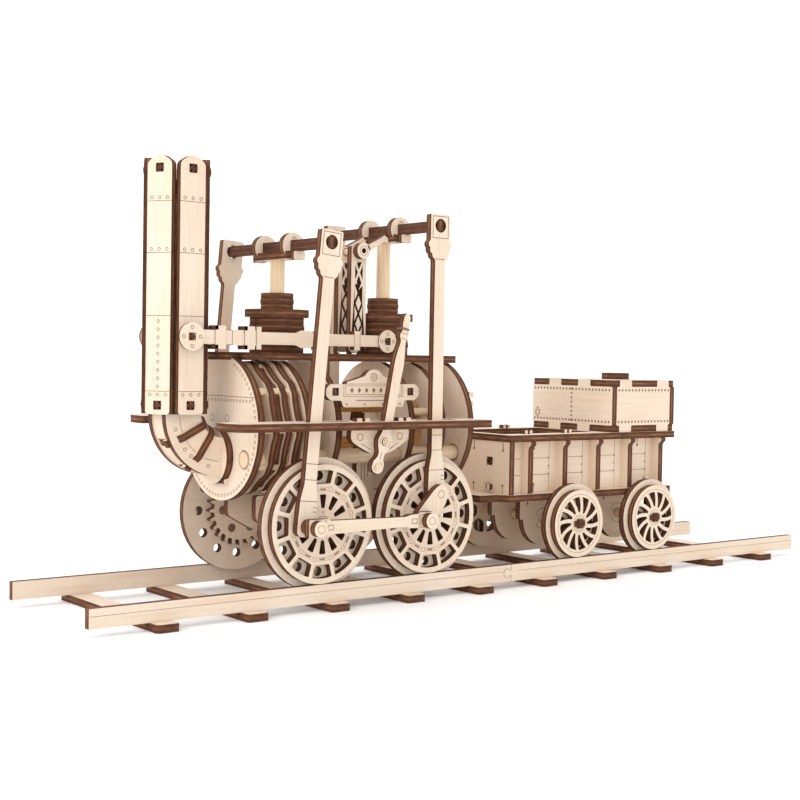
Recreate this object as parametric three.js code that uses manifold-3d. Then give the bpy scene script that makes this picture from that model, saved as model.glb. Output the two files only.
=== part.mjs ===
// Laser-cut plywood model of an early steam locomotive and its tender on a short track.
// Millimetres, +Z up.  The origin is on the ground under the middle of the track, X runs
// along the rails with the tender at +X, and the near side of the model is -Y.
import * as THREE from 'three';
import { mergeVertices } from 'three/addons/utils/BufferGeometryUtils.js';
import Module from 'manifold-3d';

const wasm = await Module();
wasm.setup();

// ---------------------------------------------------------------- driving dimensions
const PLY = 3;                 // thickness of every laser-cut sheet
const SEAT = 0.05;             // clearance between faces that rest on each other
const RUN = 0.3;               // running clearance beside a moving piece
const OVERLAP = 0.01;          // depth by which glued discs share material

// track
const RAIL_HALF_LENGTH = 192.3;
const RAIL_HEIGHT = 7;
const RAIL_OUTER = 34.6;       // centre line to the outer face of a rail
const SLEEPER_WIDTH = 9;
const SLEEPER_PITCH = 36.65;
const SLEEPER_COUNT = 5;       // on each half of the track
const SLEEPER_OVERHANG = 5.55; // beyond the outer face of the rail
const KNOB_RADIUS = 2;         // jigsaw knob that joins the two halves
const KNOB_OFFSET = 2.2;       // from the joint to the middle of the knob
const KNOB_NECK = 0.6;         // width of its neck as a share of its diameter
const SLEEPER_CORNER = 1.5;

// locomotive running gear
const FRONT_AXLE_X = -96.9;
const WHEEL_BASE = 52.6;
const TREAD_RADIUS = 22.8;
const FLANGE_DEPTH = 2.6;
const WHEEL_REST = 0.2;        // tread to rail head
const CRANK_RADIUS = 9.5;
const ROD_LENGTH = 107;        // crank pin to crosshead
const AXLE_RADIUS = 2;
const PIN_RADIUS = 1.5;
const WHEEL_SPOKES = 12;
const SPOKE_WIDTH = 1.6;
const RIM_WINDOW = [0.68, 0.87]; // inner and outer radius as shares of the tread radius
const HUB_WINDOW = [0.28, 0.55];
const CRANK_DISC_RADIUS = 3;   // discs that close the crank pins
const SPACER_RADIUS = 2.9;
const BRACKET_INSET = 1.6;     // lever bracket, inside the rods' inner faces

// tender
const TENDER_AXLE_X = 40.25;
const TENDER_SPOKE_WIDTH = 1.3;
const TENDER_WINDOW = [0.36, 0.82];
const TENDER_WHEEL_BASE = 48.8;
const TENDER_TREAD_RADIUS = 14.8;
const TENDER_START_X = 5;
const TENDER_REAR_OVERHANG = 6; // floor and shelf behind the rear wall
const PLATFORM_LENGTH = 12;    // floor in front of the front wall
const TENDER_LENGTH = 105.5;
const TENDER_HALF_WIDTH = 27.6;
const TENDER_FLOOR_Z = 35.4;
const TENDER_SIDE_HEIGHT = 22.8;
const POST_PITCH = 20.9;
const POST_COUNT = 5;
const POST_DEPTH = 6.2;
const POST_START = 13.2;       // first post behind the front of the front wall
const POST_FLARE = 1.6;        // how far a post's top stands out from its shank
const WALL_HOLE_OFFSET = 14;   // square holes of the end walls, from the middle and the floor
const WALL_HOLE_HALF = 1.8;
const TANK_LENGTH = 42;
const TANK_HALF_WIDTH = 26.3;
const TANK_HEIGHT = 23.8;
const HATCH_LENGTH = 9.6;
const HATCH_HALF_WIDTH = 4.8;
const HATCH_OFFSET = 24.6;     // behind the tank's front face
const HORN_INNER = 8;          // centre line to the inner face of a hornblock
const HORN_HALF = 14;          // half width of its square top
const HORN_RADIUS = 12;        // round bottom, about the axle
const HORN_BAR = 3;            // height of the bar that joins two hornblocks
const DRAWBAR_HALF_WIDTH = 3;

// boiler and what stands on it
const BOILER_FRONT_X = -122.4;
const BOILER_LENGTH = 105.4;
const BOILER_RADIUS = 28.3;
const BOILER_Z = 68.6;
const RING_RADIUS = 27.2;
const RING_WALL = 9;
const DOWEL_RADIUS = 3;
const DOWEL_OFFSET = 18.5;
const DOWEL_DROP = 11.4;
const DECK_HALF_WIDTH = 14;
const DECK_TOP_Z = 97.8;
const CYLINDER_RADIUS = 10.75;
const CYLINDER_HEIGHT = 14;
const CYLINDER_FLANGE = 12.7;
const GLAND_RADIUS = 6.6;
const GLAND_HEIGHT = 6.6;
const PISTON_RADIUS = 2.9;
const CHIMNEY_X = -142;
const CHIMNEY_APOTHEM = 12.2;
const CHIMNEY_BOTTOM_Z = 74.2;
const CHIMNEY_TOP_Z = 170;
const STAVE_WIDTH = 10.4;
const PIPE_Z = 103.2;
const PIPE_HEIGHT = 6.1;
const PIPE_LEAD = 1.7;         // front end of a steam pipe in front of the chimney's axis
const PIPE_SETBACK = 9.2;      // rear end of a steam pipe in front of the rear cylinder
const PIPE_DISCS = [5.4, 5];   // radii of its front and rear end discs
const COLLAR_OFFSETS = [24.5, 29]; // its two collars, behind the chimney
const COLLAR_HALF = 1.2;
const COLLAR_RISE = 1.8;
const FOOTPLATE_Z = 69;
const FOOTPLATE_OUTER = 44.6;
const FOOTPLATE_FRONT_X = -140.9;
const FOOTPLATE_REAR_X = -20.4;
const TOWER_X = -61.3;
const TOWER_WIDTH = 7.6;
const LEVER_PIVOT_Z = 140;
const START_PIVOT_X = -71.6;
const START_PIVOT_Z = 64;

// gears on the front axle
const GEAR_TEETH = 24;
const PINION_TEETH = 12;
const GEAR_MODULE = 7 / 6;
const GEAR_BACKLASH = 0.3;

// ---------------------------------------------------------------- sizes worked out from them
const railTop = PLY + RAIL_HEIGHT;
const rearAxleX = FRONT_AXLE_X + WHEEL_BASE;
const axleZ = railTop + WHEEL_REST + TREAD_RADIUS;
const tenderAxleZ = railTop + WHEEL_REST + TENDER_TREAD_RADIUS;
const wheelFace = RAIL_OUTER - RUN;                  // outer face of every tread disc
const flangeInner = wheelFace - 2 * PLY;             // inner face of every flange disc
const rodInner = wheelFace + RUN;                    // connecting rods
const crankInner = rodInner + PLY + RUN;             // return cranks and spacers
const couplingInner = crankInner + PLY + RUN;        // coupling rods
const capInner = couplingInner + PLY + RUN;          // end discs of the crank pins
const rodLean = Math.asin(CRANK_RADIUS / ROD_LENGTH);
const frontBeamZ = axleZ + ROD_LENGTH * Math.cos(rodLean);
const rearBeamZ = axleZ + CRANK_RADIUS + ROD_LENGTH;
const footplateInner = BOILER_RADIUS + SEAT;
const bracketInner = rodInner - BRACKET_INSET;
const leverInner = Math.max(bracketInner, footplateInner) + PLY + RUN; // clear of the nameplate too
const boilerRearX = BOILER_FRONT_X + BOILER_LENGTH;
const deckBottomZ = DECK_TOP_Z - PLY;
const dowelZ = BOILER_Z - DOWEL_DROP;
const frameInner = 9;
const frameBottomZ = axleZ - 6;
const frameTopZ = axleZ + 9.5;
const floorZ = Math.min(TENDER_FLOOR_Z, BOILER_Z - BOILER_RADIUS); // drawbar passes below the boiler
const floorTop = floorZ + PLY;
const floorHalfWidth = Math.min(TENDER_HALF_WIDTH, flangeInner - RUN); // between the flanges
const tenderWallOuter = TENDER_HALF_WIDTH - POST_DEPTH;
const tenderEnd = TENDER_START_X + TENDER_LENGTH;
const rearWallX = tenderEnd - TENDER_REAR_OVERHANG - PLY;
const shelfZ = floorTop + TENDER_SIDE_HEIGHT;
const tankX = tenderEnd - 0.5 - TANK_LENGTH;
const tankZ = shelfZ + PLY + SEAT;

// ---------------------------------------------------------------- geometry helpers
const { PI, sin, cos, hypot, atan2 } = Math;
const RIGHT = PI / 2;

const matrixY = new THREE.Matrix4().makeRotationX(RIGHT);
const matrixX = new THREE.Matrix4().makeBasis(
  new THREE.Vector3(0, 1, 0), new THREE.Vector3(0, 0, 1), new THREE.Vector3(1, 0, 0));

// A shape drawn in X and Z, cut from sheet between two distances along Y.
function sheetY(shape, yLow, thickness, segments = 6) {
  const sheet = new THREE.ExtrudeGeometry(shape, {
    depth: thickness, bevelEnabled: false, curveSegments: segments });
  return sheet.applyMatrix4(matrixY).translate(0, yLow + thickness, 0);
}

// A shape drawn in Y and Z, cut from sheet standing across the rails.
function sheetX(shape, xLow, thickness, segments = 6) {
  const sheet = new THREE.ExtrudeGeometry(shape, {
    depth: thickness, bevelEnabled: false, curveSegments: segments });
  return sheet.applyMatrix4(matrixX).translate(xLow, 0, 0);
}

// A shape drawn in X and Y, cut from sheet lying flat.
function sheetZ(shape, zLow, thickness, segments = 6) {
  const sheet = new THREE.ExtrudeGeometry(shape, {
    depth: thickness, bevelEnabled: false, curveSegments: segments });
  return sheet.translate(0, 0, zLow);
}

// Sheet on the near side (side -1) or the far side (side +1), from an inner distance outwards.
function sideSheet(shape, side, inner, thickness, segments = 6) {
  const yLow = side < 0 ? -inner - thickness : inner;
  return sheetY(shape, yLow, thickness, segments);
}

function outline(points) {
  return new THREE.Shape(points.map(([a, b]) => new THREE.Vector2(a, b)));
}

function rectangle(a0, a1, b0, b1) {
  return outline([[a0, b0], [a1, b0], [a1, b1], [a0, b1]]);
}

function circlePoints(a, b, radius, count, start = 0) {
  return Array.from({ length: count }, (_, i) => {
    const angle = start + (i / count) * 2 * PI;
    return [a + radius * cos(angle), b + radius * sin(angle)];
  });
}

function disc(a, b, radius, count = 24, start = 0) {
  return outline(circlePoints(a, b, radius, count, start));
}

function cutHoles(shape, ...holes) {
  shape.holes.push(...holes);
  return shape;
}

// A bar between two points with round ends of their own radii.
function link(a0, b0, r0, a1, b1, r1, width, count = 10) {
  const angle = atan2(b1 - b0, a1 - a0);
  const half = width / 2;
  const spread0 = Math.asin(Math.min(1, half / r0));
  const spread1 = Math.asin(Math.min(1, half / r1));
  const points = [];
  for (let i = 0; i <= count; i++) {
    const turn = angle + spread0 + (i / count) * (2 * PI - 2 * spread0);
    points.push([a0 + r0 * cos(turn), b0 + r0 * sin(turn)]);
  }
  for (let i = 0; i <= count; i++) {
    const turn = angle + PI + spread1 + (i / count) * (2 * PI - 2 * spread1);
    points.push([a1 + r1 * cos(turn), b1 + r1 * sin(turn)]);
  }
  return outline(points);
}

function rodY(x, z, radius, y0, y1, sides = 16) {
  return sheetY(disc(x, z, radius, sides), y0, y1 - y0);
}

// A round pin on one side of the model, between two distances from the centre line.
function sidePin(x, z, side, inner, outer) {
  return sideSheet(disc(x, z, PIN_RADIUS, 12), side, inner, outer - inner);
}

function rodX(y, z, radius, x0, x1, sides = 16) {
  return sheetX(disc(y, z, radius, sides), x0, x1 - x0);
}

function boxOf(x0, x1, y0, y1, z0, z1) {
  return new THREE.BoxGeometry(x1 - x0, y1 - y0, z1 - z0)
    .translate((x0 + x1) / 2, (y0 + y1) / 2, (z0 + z1) / 2);
}

function toSolid(geometry) {
  const bare = geometry.clone();
  bare.deleteAttribute('normal');
  bare.deleteAttribute('uv');
  const merged = mergeVertices(bare, 1e-4);
  return new wasm.Manifold(new wasm.Mesh({
    numProp: 3,
    vertProperties: Float32Array.from(merged.attributes.position.array),
    triVerts: Uint32Array.from(merged.index.array),
  }));
}

function toGeometry(solid) {
  const { vertProperties, triVerts } = solid.getMesh();
  const geometry = new THREE.BufferGeometry();
  geometry.setAttribute('position', new THREE.BufferAttribute(vertProperties, 3));
  geometry.setIndex(new THREE.BufferAttribute(triVerts, 1));
  return geometry;
}

const join = (...pieces) => toGeometry(pieces.map(toSolid).reduce((a, b) => a.add(b)));
const cut = (body, ...tools) => toGeometry(
  tools.map(toSolid).reduce((solid, tool) => solid.subtract(tool), toSolid(body)));

// ---------------------------------------------------------------- scene graph
const model = new THREE.Group();
const BIRCH = 0xe9d9bd;
const BURNT = 0x7a5136;
const DOWEL = 0xe2c79a;
const BAND = 0xd99a3c;

function add(name, geometry, colour = BIRCH) {
  const material = new THREE.MeshStandardMaterial({ color: colour, roughness: 0.75, metalness: 0 });
  const mesh = new THREE.Mesh(geometry, material);
  mesh.name = name;
  model.add(mesh);
}

const SIDES = [['near', -1], ['far', 1]];

// ---------------------------------------------------------------- track
// Each half has two rails on edge, held by five sleepers.  The rear half carries a round knob
// on each rail that drops into the front half.
function sleeper(x) {
  const tip = RAIL_OUTER + SLEEPER_OVERHANG;
  const half = SLEEPER_WIDTH / 2;
  const corner = SLEEPER_CORNER;
  return sheetZ(outline([
    [x - half, corner - tip], [x - half + corner, -tip], [x + half - corner, -tip],
    [x + half, corner - tip], [x + half, tip - corner], [x + half - corner, tip],
    [x - half + corner, tip], [x - half, tip - corner]]), 0, PLY);
}

// The knobs and their necks; a spare allowance above zero gives the notches that take them.
function knobSheets(spare) {
  const middle = PLY + RAIL_HEIGHT / 2;
  const half = KNOB_RADIUS * KNOB_NECK + spare;
  const shapes = [disc(-KNOB_OFFSET, middle, KNOB_RADIUS + spare, 16),
    rectangle(-KNOB_OFFSET, 1, middle - half, middle + half)];
  return SIDES.flatMap(([, side]) =>
    shapes.map((shape) => sideSheet(shape, side, RAIL_OUTER - PLY, PLY)));
}

function trackHalf(direction) {
  const ends = direction < 0 ? [-RAIL_HALF_LENGTH, -SEAT] : [SEAT, RAIL_HALF_LENGTH];
  const rails = SIDES.map(([, side]) =>
    sideSheet(rectangle(...ends, PLY, railTop), side, RAIL_OUTER - PLY, PLY));
  const sleepers = Array.from({ length: SLEEPER_COUNT }, (_, i) =>
    sleeper(direction * SLEEPER_PITCH * (i + 0.5)));
  const whole = join(...sleepers, ...rails);
  return direction < 0 ? cut(whole, ...knobSheets(SEAT)) : join(whole, ...knobSheets(-SEAT));
}

add('front_track_half', trackHalf(-1));
add('rear_track_half', trackHalf(1));

// ---------------------------------------------------------------- wheels
// Every wheel is a spoked tread disc glued to a larger flange disc.
function spokedDisc(x, z, radius, windows) {
  const shape = disc(x, z, radius, 36);
  for (const [inner, outer, gap] of windows) {
    for (let i = 0; i < WHEEL_SPOKES; i++) {
      const middle = ((i + 0.5) / WHEEL_SPOKES) * 2 * PI;
      const half = PI / WHEEL_SPOKES;
      const low = half - gap / inner / 2;
      const high = half - gap / outer / 2;
      shape.holes.push(outline([[inner, -low], [outer, -high], [outer, high], [inner, low]]
        .map(([r, turn]) => [x + r * cos(middle + turn), z + r * sin(middle + turn)])));
    }
  }
  return shape;
}

// Two glued discs and a crank pin that stands out to a given distance.
function locomotiveWheel(x, side, pinX, pinZ, pinEnd) {
  const windows = [RIM_WINDOW, HUB_WINDOW].map(([inner, outer]) =>
    [TREAD_RADIUS * inner, TREAD_RADIUS * outer, SPOKE_WIDTH]);
  const tread = spokedDisc(x, axleZ, TREAD_RADIUS, windows);
  const flange = disc(x, axleZ, TREAD_RADIUS + FLANGE_DEPTH, 36);
  return join(sideSheet(tread, side, wheelFace - PLY, PLY),
    sideSheet(flange, side, flangeInner, PLY + OVERLAP),
    sidePin(pinX, pinZ, side, wheelFace - 1, pinEnd));
}

// The crank pin carries the rod ends, and a disc closes it outside the coupling rod.
function frontWheel(side) {
  const pinX = FRONT_AXLE_X - CRANK_RADIUS;
  const wheel = locomotiveWheel(FRONT_AXLE_X, side, pinX, axleZ, capInner - SEAT);
  return join(wheel, sideSheet(disc(pinX, axleZ, SPACER_RADIUS, 16), side, crankInner, PLY),
    crankDisc(pinX, side));
}

function crankDisc(x, side) {
  return sideSheet(disc(x, axleZ, CRANK_DISC_RADIUS, 16), side, capInner - 0.1, PLY);
}

function rearWheel(side) {
  return locomotiveWheel(rearAxleX, side, rearAxleX, axleZ + CRANK_RADIUS, crankInner + PLY - SEAT);
}

// The return crank is clamped on the rear crank pin and brings the coupling pin back into step.
function returnCrank(side) {
  const pinZ = axleZ + CRANK_RADIUS;
  const pinX = rearAxleX - CRANK_RADIUS;
  const plate = link(rearAxleX, pinZ, 3.6, pinX, axleZ, 3.6, 6.6);
  cutHoles(plate, disc(rearAxleX, pinZ, PIN_RADIUS + SEAT * 2, 12));
  return join(sideSheet(plate, side, crankInner, PLY),
    sidePin(pinX, axleZ, side, crankInner + 1, capInner), crankDisc(pinX, side));
}

function tenderWheel(x, side) {
  const [inner, outer] = TENDER_WINDOW.map((share) => share * TENDER_TREAD_RADIUS);
  const tread = spokedDisc(x, tenderAxleZ, TENDER_TREAD_RADIUS, [[inner, outer, TENDER_SPOKE_WIDTH]]);
  const flange = disc(x, tenderAxleZ, TENDER_TREAD_RADIUS + FLANGE_DEPTH, 36);
  return [sideSheet(tread, side, wheelFace - PLY, PLY),
    sideSheet(flange, side, flangeInner, PLY + OVERLAP)];
}

// Both wheels of a tender wheelset are pressed on the ends of one axle.
function tenderWheelset(x) {
  const bar = rodY(x, tenderAxleZ, AXLE_RADIUS, -flangeInner - 1, flangeInner + 1, 16);
  return join(bar, ...tenderWheel(x, -1), ...tenderWheel(x, 1));
}

function axle(x, z) {
  return rodY(x, z, AXLE_RADIUS, -flangeInner + SEAT, flangeInner - SEAT, 16);
}

for (const [name, side] of SIDES) {
  add(`${name}_front_wheel`, frontWheel(side));
  add(`${name}_rear_wheel`, rearWheel(side));
  add(`${name}_return_crank`, returnCrank(side));
}
add('rear_axle', axle(rearAxleX, axleZ), DOWEL);

// ---------------------------------------------------------------- drive gear and motor pinion
function gearShape(x, z, teeth, phase) {
  const pitchRadius = (teeth * GEAR_MODULE) / 2;
  const root = pitchRadius - 1.15 * GEAR_MODULE;
  const tip = pitchRadius + 0.8 * GEAR_MODULE;
  const step = (2 * PI) / teeth;
  const points = [];
  for (let i = 0; i < teeth; i++) {
    for (const [radius, share] of [[root, -0.27], [tip, -0.1], [tip, 0.1], [root, 0.27]]) {
      const turn = phase + (i + share) * step;
      points.push([x + radius * cos(turn), z + radius * sin(turn)]);
    }
  }
  return outline(points);
}

const gearRadius = (GEAR_TEETH * GEAR_MODULE) / 2;
const pinionRadius = (PINION_TEETH * GEAR_MODULE) / 2;
const meshAngle = PI / 12;      // pinion's place round the gear, above the horizontal
const meshDistance = gearRadius + pinionRadius + GEAR_BACKLASH;
const pinionX = FRONT_AXLE_X + meshDistance * cos(meshAngle);
const pinionZ = axleZ + meshDistance * sin(meshAngle);
const gearInner = flangeInner - SEAT - PLY;

const gearSheet = gearShape(FRONT_AXLE_X, axleZ, GEAR_TEETH, meshAngle);
cutHoles(gearSheet, disc(FRONT_AXLE_X, axleZ, AXLE_RADIUS + 2 * SEAT, 16));
add('drive_gear', sideSheet(gearSheet, 1, gearInner, PLY));
add('front_axle', axle(FRONT_AXLE_X, axleZ), DOWEL);

const pinionSheet = gearShape(pinionX, pinionZ, PINION_TEETH, meshAngle + PI + PI / PINION_TEETH);
add('motor_pinion', join(sideSheet(pinionSheet, 1, gearInner, PLY),
  rodY(pinionX, pinionZ, AXLE_RADIUS, -frameInner - PLY - 1, gearInner + 1, 12)));

// ---------------------------------------------------------------- connecting and coupling rods
const ROD_EYE = PIN_RADIUS + RUN / 2;
const HEAD_EYE = 2.6;          // eye for the crosshead beam

// The head is a strap with an eye, a stepped collar below it and a tapering shank.
function connectingRod(side, footX, footZ, headX, headZ) {
  const length = hypot(headX - footX, headZ - footZ);
  const turn = atan2(headX - footX, headZ - footZ);
  // half widths and heights, first measured from the eye and then from the crank pin
  const head = [[4.9, 4.6], [4.9, -5.4], [5.9, -6.4], [5.9, -9.4], [4.2, -12.2], [2.7, -13]];
  const foot = [[2.9, 14], [4.2, 9], [4.2, -3]];
  const right = [...head.map(([a, b]) => [a, length + b]), ...foot];
  const left = right.map(([a, b]) => [-a, b]).reverse();
  const shape = outline([...right, ...left].reverse().map(([a, b]) =>
    [footX + a * cos(turn) + b * sin(turn), footZ - a * sin(turn) + b * cos(turn)]));
  cutHoles(shape, disc(footX, footZ, ROD_EYE, 16), disc(headX, headZ, HEAD_EYE, 12));
  return sideSheet(shape, side, rodInner, PLY);
}

function couplingRod(side) {
  const x0 = FRONT_AXLE_X - CRANK_RADIUS;
  const x1 = rearAxleX - CRANK_RADIUS;
  // offsets from an eye and half heights, from the round tip to the slimmer shank
  const tip = [[3.4, 2], [2, 3.4], [-4.6, 3.4], [-7.5, 2.4]];
  const right = tip.map(([a, b]) => [x1 + a, b]);
  const left = tip.map(([a, b]) => [x0 - a, b]).reverse();
  const top = [...right, ...left];
  const bottom = top.map(([x, b]) => [x, -b]).reverse();
  const shape = outline([...top, ...bottom].map(([x, b]) => [x, axleZ + b]));
  cutHoles(shape, disc(x0, axleZ, ROD_EYE, 16), disc(x1, axleZ, ROD_EYE, 16));
  return sideSheet(shape, side, couplingInner, PLY);
}

for (const [name, side] of SIDES) {
  add(`${name}_front_rod`,
    connectingRod(side, FRONT_AXLE_X - CRANK_RADIUS, axleZ, FRONT_AXLE_X, frontBeamZ));
  add(`${name}_rear_rod`,
    connectingRod(side, rearAxleX, axleZ + CRANK_RADIUS, rearAxleX, rearBeamZ));
  add(`${name}_coupling_rod`, couplingRod(side));
}

// ---------------------------------------------------------------- crossheads and piston rods
// The beam reaches out to the rods and stops just short of their inner faces.
const BEAM_HEIGHT = 4.2;
const SADDLE_HALF_LENGTH = 12.5;
const SADDLE_HALF_WIDTH = 4;
const DISC_OFFSET = 8.6;       // guide discs, from the centre line
const DISC_RADIUS = 5.2;
const saddleDrop = BEAM_HEIGHT / 2;

function crossheadBeam(x, z) {
  const end = rodInner - RUN;
  const beam = boxOf(x - PLY / 2, x + PLY / 2, -end, end, z - BEAM_HEIGHT / 2, z + BEAM_HEIGHT / 2);
  const saddle = boxOf(x - SADDLE_HALF_WIDTH, x + SADDLE_HALF_WIDTH, -SADDLE_HALF_LENGTH,
    SADDLE_HALF_LENGTH, z - saddleDrop - PLY, z - saddleDrop + 0.1);
  const discs = SIDES.map(([, side]) =>
    sideSheet(disc(x, z, DISC_RADIUS, 20), side, DISC_OFFSET, PLY));
  return join(beam, saddle, ...discs);
}

function pistonRod(x, z) {
  const top = z - saddleDrop - PLY - SEAT;
  const bottom = DECK_TOP_Z + CRANK_RADIUS + 2; // still above the deck at the bottom of its stroke
  return new THREE.CylinderGeometry(PISTON_RADIUS, PISTON_RADIUS, top - bottom, 16)
    .rotateX(RIGHT).translate(x, 0, (top + bottom) / 2);
}

for (const [name, x, z] of [['front', FRONT_AXLE_X, frontBeamZ], ['rear', rearAxleX, rearBeamZ]]) {
  add(`${name}_crosshead_beam`, crossheadBeam(x, z), BURNT);
  add(`${name}_piston_rod`, pistonRod(x, z), DOWEL);
}

// ---------------------------------------------------------------- cylinders on the deck
function cylinder(x) {
  const bore = PISTON_RADIUS + RUN;
  const z0 = DECK_TOP_Z + SEAT;
  const z1 = z0 + CYLINDER_HEIGHT;
  const z2 = z1 + PLY;
  const z3 = z2 + GLAND_HEIGHT;
  const profile = [[bore, z0], [CYLINDER_RADIUS, z0], [CYLINDER_RADIUS, z1], [CYLINDER_FLANGE, z1],
    [CYLINDER_FLANGE, z2], [GLAND_RADIUS, z2], [GLAND_RADIUS, z3], [bore, z3], [bore, z0]];
  return new THREE.LatheGeometry(profile.map(([r, z]) => new THREE.Vector2(r, z)), 24)
    .rotateX(RIGHT).translate(x, 0, 0);
}

add('front_cylinder', cylinder(FRONT_AXLE_X), BURNT);
add('rear_cylinder', cylinder(rearAxleX), BURNT);

// ---------------------------------------------------------------- boiler
const TONGUE_HALF_WIDTH = 8.3;
const TONGUE_LENGTH = 3;
const ringRadius = Math.min(RING_RADIUS, (deckBottomZ - RUN - BOILER_Z) / sin(0.4 * PI)); // below the deck
// start and length of each pack of rings, measured from the front plate
const RING_PACKS = { front: [9, 12], middle: [36, 6], rear: [79.4, 9] };

function boilerPlate(xLow, slotHalfWidth) {
  const shape = disc(0, BOILER_Z, BOILER_RADIUS, 64);
  for (const [, side] of SIDES) {
    shape.holes.push(disc(side * DOWEL_OFFSET, dowelZ, DOWEL_RADIUS + RUN, 16));
  }
  return cut(sheetX(shape, xLow, PLY),
    boxOf(xLow - 1, xLow + PLY + 1, -slotHalfWidth, slotHalfWidth, deckBottomZ - SEAT, DECK_TOP_Z + 5));
}

// Rings are packs of ten-sided sheets threaded on the two lower dowels.
function boilerRing(xLow, length) {
  const shape = disc(0, BOILER_Z, ringRadius, 10);
  shape.holes.push(disc(0, BOILER_Z, ringRadius - RING_WALL, 10));
  return cut(sheetX(shape, xLow, length),
    ...SIDES.map(([, side]) =>
      rodX(side * DOWEL_OFFSET, dowelZ, DOWEL_RADIUS + RUN, xLow - 1, xLow + length + 1)));
}

add('boiler_front_plate', boilerPlate(BOILER_FRONT_X, TONGUE_HALF_WIDTH + SEAT));
add('boiler_rear_plate', boilerPlate(boilerRearX - PLY, DECK_HALF_WIDTH + SEAT));
for (const [place, [start, length]] of Object.entries(RING_PACKS)) {
  add(`boiler_ring_${place}`, boilerRing(BOILER_FRONT_X + start, length), BURNT);
}
for (const [name, side] of SIDES) {
  add(`${name}_boiler_dowel`,
    rodX(side * DOWEL_OFFSET, dowelZ, DOWEL_RADIUS, BOILER_FRONT_X - 0.3, boilerRearX + 0.3), DOWEL);
}

const deckRear = boilerRearX + 1.5;
const tongueX = BOILER_FRONT_X + PLY + SEAT;
const deckSheet = outline([
  [tongueX, -DECK_HALF_WIDTH], [deckRear, -DECK_HALF_WIDTH], [deckRear, DECK_HALF_WIDTH],
  [tongueX, DECK_HALF_WIDTH], [tongueX, TONGUE_HALF_WIDTH],
  [BOILER_FRONT_X - TONGUE_LENGTH, TONGUE_HALF_WIDTH],
  [BOILER_FRONT_X - TONGUE_LENGTH, -TONGUE_HALF_WIDTH], [tongueX, -TONGUE_HALF_WIDTH]]);
for (const x of [FRONT_AXLE_X, rearAxleX]) cutHoles(deckSheet, disc(x, 0, PISTON_RADIUS + RUN, 16));
add('top_deck', sheetZ(deckSheet, deckBottomZ, PLY));

const BAND_INSET = 14;         // middle of its end loops, inside the end plates
const BAND_RADIUS = 9;
const BAND_THICKNESS = 1.2;
const BAND_WIDTH = 4;

// The rubber band is the motor: a stretched loop along the inside of the boiler.
function rubberBand() {
  const x0 = BOILER_FRONT_X + BAND_INSET;
  const x1 = boilerRearX - BAND_INSET;
  const radius = BAND_RADIUS;
  const wall = BAND_THICKNESS;
  const outer = link(x0, BOILER_Z, radius, x1, BOILER_Z, radius, 2 * radius, 8);
  const inner = link(x0, BOILER_Z, radius - wall, x1, BOILER_Z, radius - wall, 2 * (radius - wall), 8);
  return sheetY(cutHoles(outer, inner), -BAND_WIDTH / 2, BAND_WIDTH);
}

add('rubber_band', rubberBand(), BAND);

// ---------------------------------------------------------------- chimney and its elbow
// Six staves stand round a hexagon with an open V between neighbours.
function chimney() {
  const innerApothem = CHIMNEY_APOTHEM - PLY;
  const half = STAVE_WIDTH / 2;
  const corner = innerApothem / cos(PI / 6) + 0.7;
  const points = [];
  for (let i = 0; i < 6; i++) {
    const turn = RIGHT + (i * PI) / 3;
    const spot = (a, b) => [CHIMNEY_X + a * cos(turn) - b * sin(turn), a * sin(turn) + b * cos(turn)];
    points.push(spot(CHIMNEY_APOTHEM, -half), spot(CHIMNEY_APOTHEM, half));
    points.push([CHIMNEY_X + corner * cos(turn + PI / 6), corner * sin(turn + PI / 6)]);
  }
  const shape = outline(points);
  shape.holes.push(disc(CHIMNEY_X, 0, (innerApothem - 0.5) / cos(PI / 6), 6, 0));
  return sheetZ(shape, CHIMNEY_BOTTOM_Z, CHIMNEY_TOP_Z - CHIMNEY_BOTTOM_Z);
}

add('chimney', chimney());

// The elbow turns from the chimney to the front plate, with three ribs round it.
const ELBOW_CENTRE_X = BOILER_FRONT_X - 3.1;
const ELBOW_OUTER = 24;
const ELBOW_INNER = 9;
const ELBOW_HALF_WIDTH = 7;
const ELBOW_RIB_TURNS = [PI / 6, PI / 3];
const ELBOW_RIB_RADIUS = 9.6;
const ELBOW_RIB_SHIFT = 1.2;   // towards the inside of the bend
const ELBOW_FLANGE_RADIUS = 10.8;

function elbow() {
  const steps = 12;
  const arc = (radius) => Array.from({ length: steps + 1 }, (_, i) => {
    const turn = PI + (i / steps) * RIGHT;
    return [ELBOW_CENTRE_X + radius * cos(turn), CHIMNEY_BOTTOM_Z - SEAT + radius * sin(turn)];
  });
  const end = BOILER_FRONT_X - SEAT;
  const shape = outline([...arc(ELBOW_OUTER), [end, CHIMNEY_BOTTOM_Z - SEAT - ELBOW_OUTER],
    [end, CHIMNEY_BOTTOM_Z - SEAT - ELBOW_INNER], ...arc(ELBOW_INNER).reverse()]);
  const duct = sheetY(shape, -ELBOW_HALF_WIDTH, 2 * ELBOW_HALF_WIDTH);
  const middle = (ELBOW_OUTER + ELBOW_INNER) / 2;
  const ribs = ELBOW_RIB_TURNS.map((turn) =>
    sheetX(disc(0, 0, ELBOW_RIB_RADIUS, 20), -PLY / 2, PLY)
      .translate(0, 0, ELBOW_RIB_SHIFT - middle)
      .applyMatrix4(new THREE.Matrix4().makeRotationY(RIGHT - turn))
      .translate(ELBOW_CENTRE_X, 0, CHIMNEY_BOTTOM_Z - SEAT));
  const plateRib = rodX(0, CHIMNEY_BOTTOM_Z - middle, ELBOW_FLANGE_RADIUS, end - PLY, end, 24);
  return join(duct, ...ribs, plateRib);
}

add('chimney_elbow', elbow());

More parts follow.
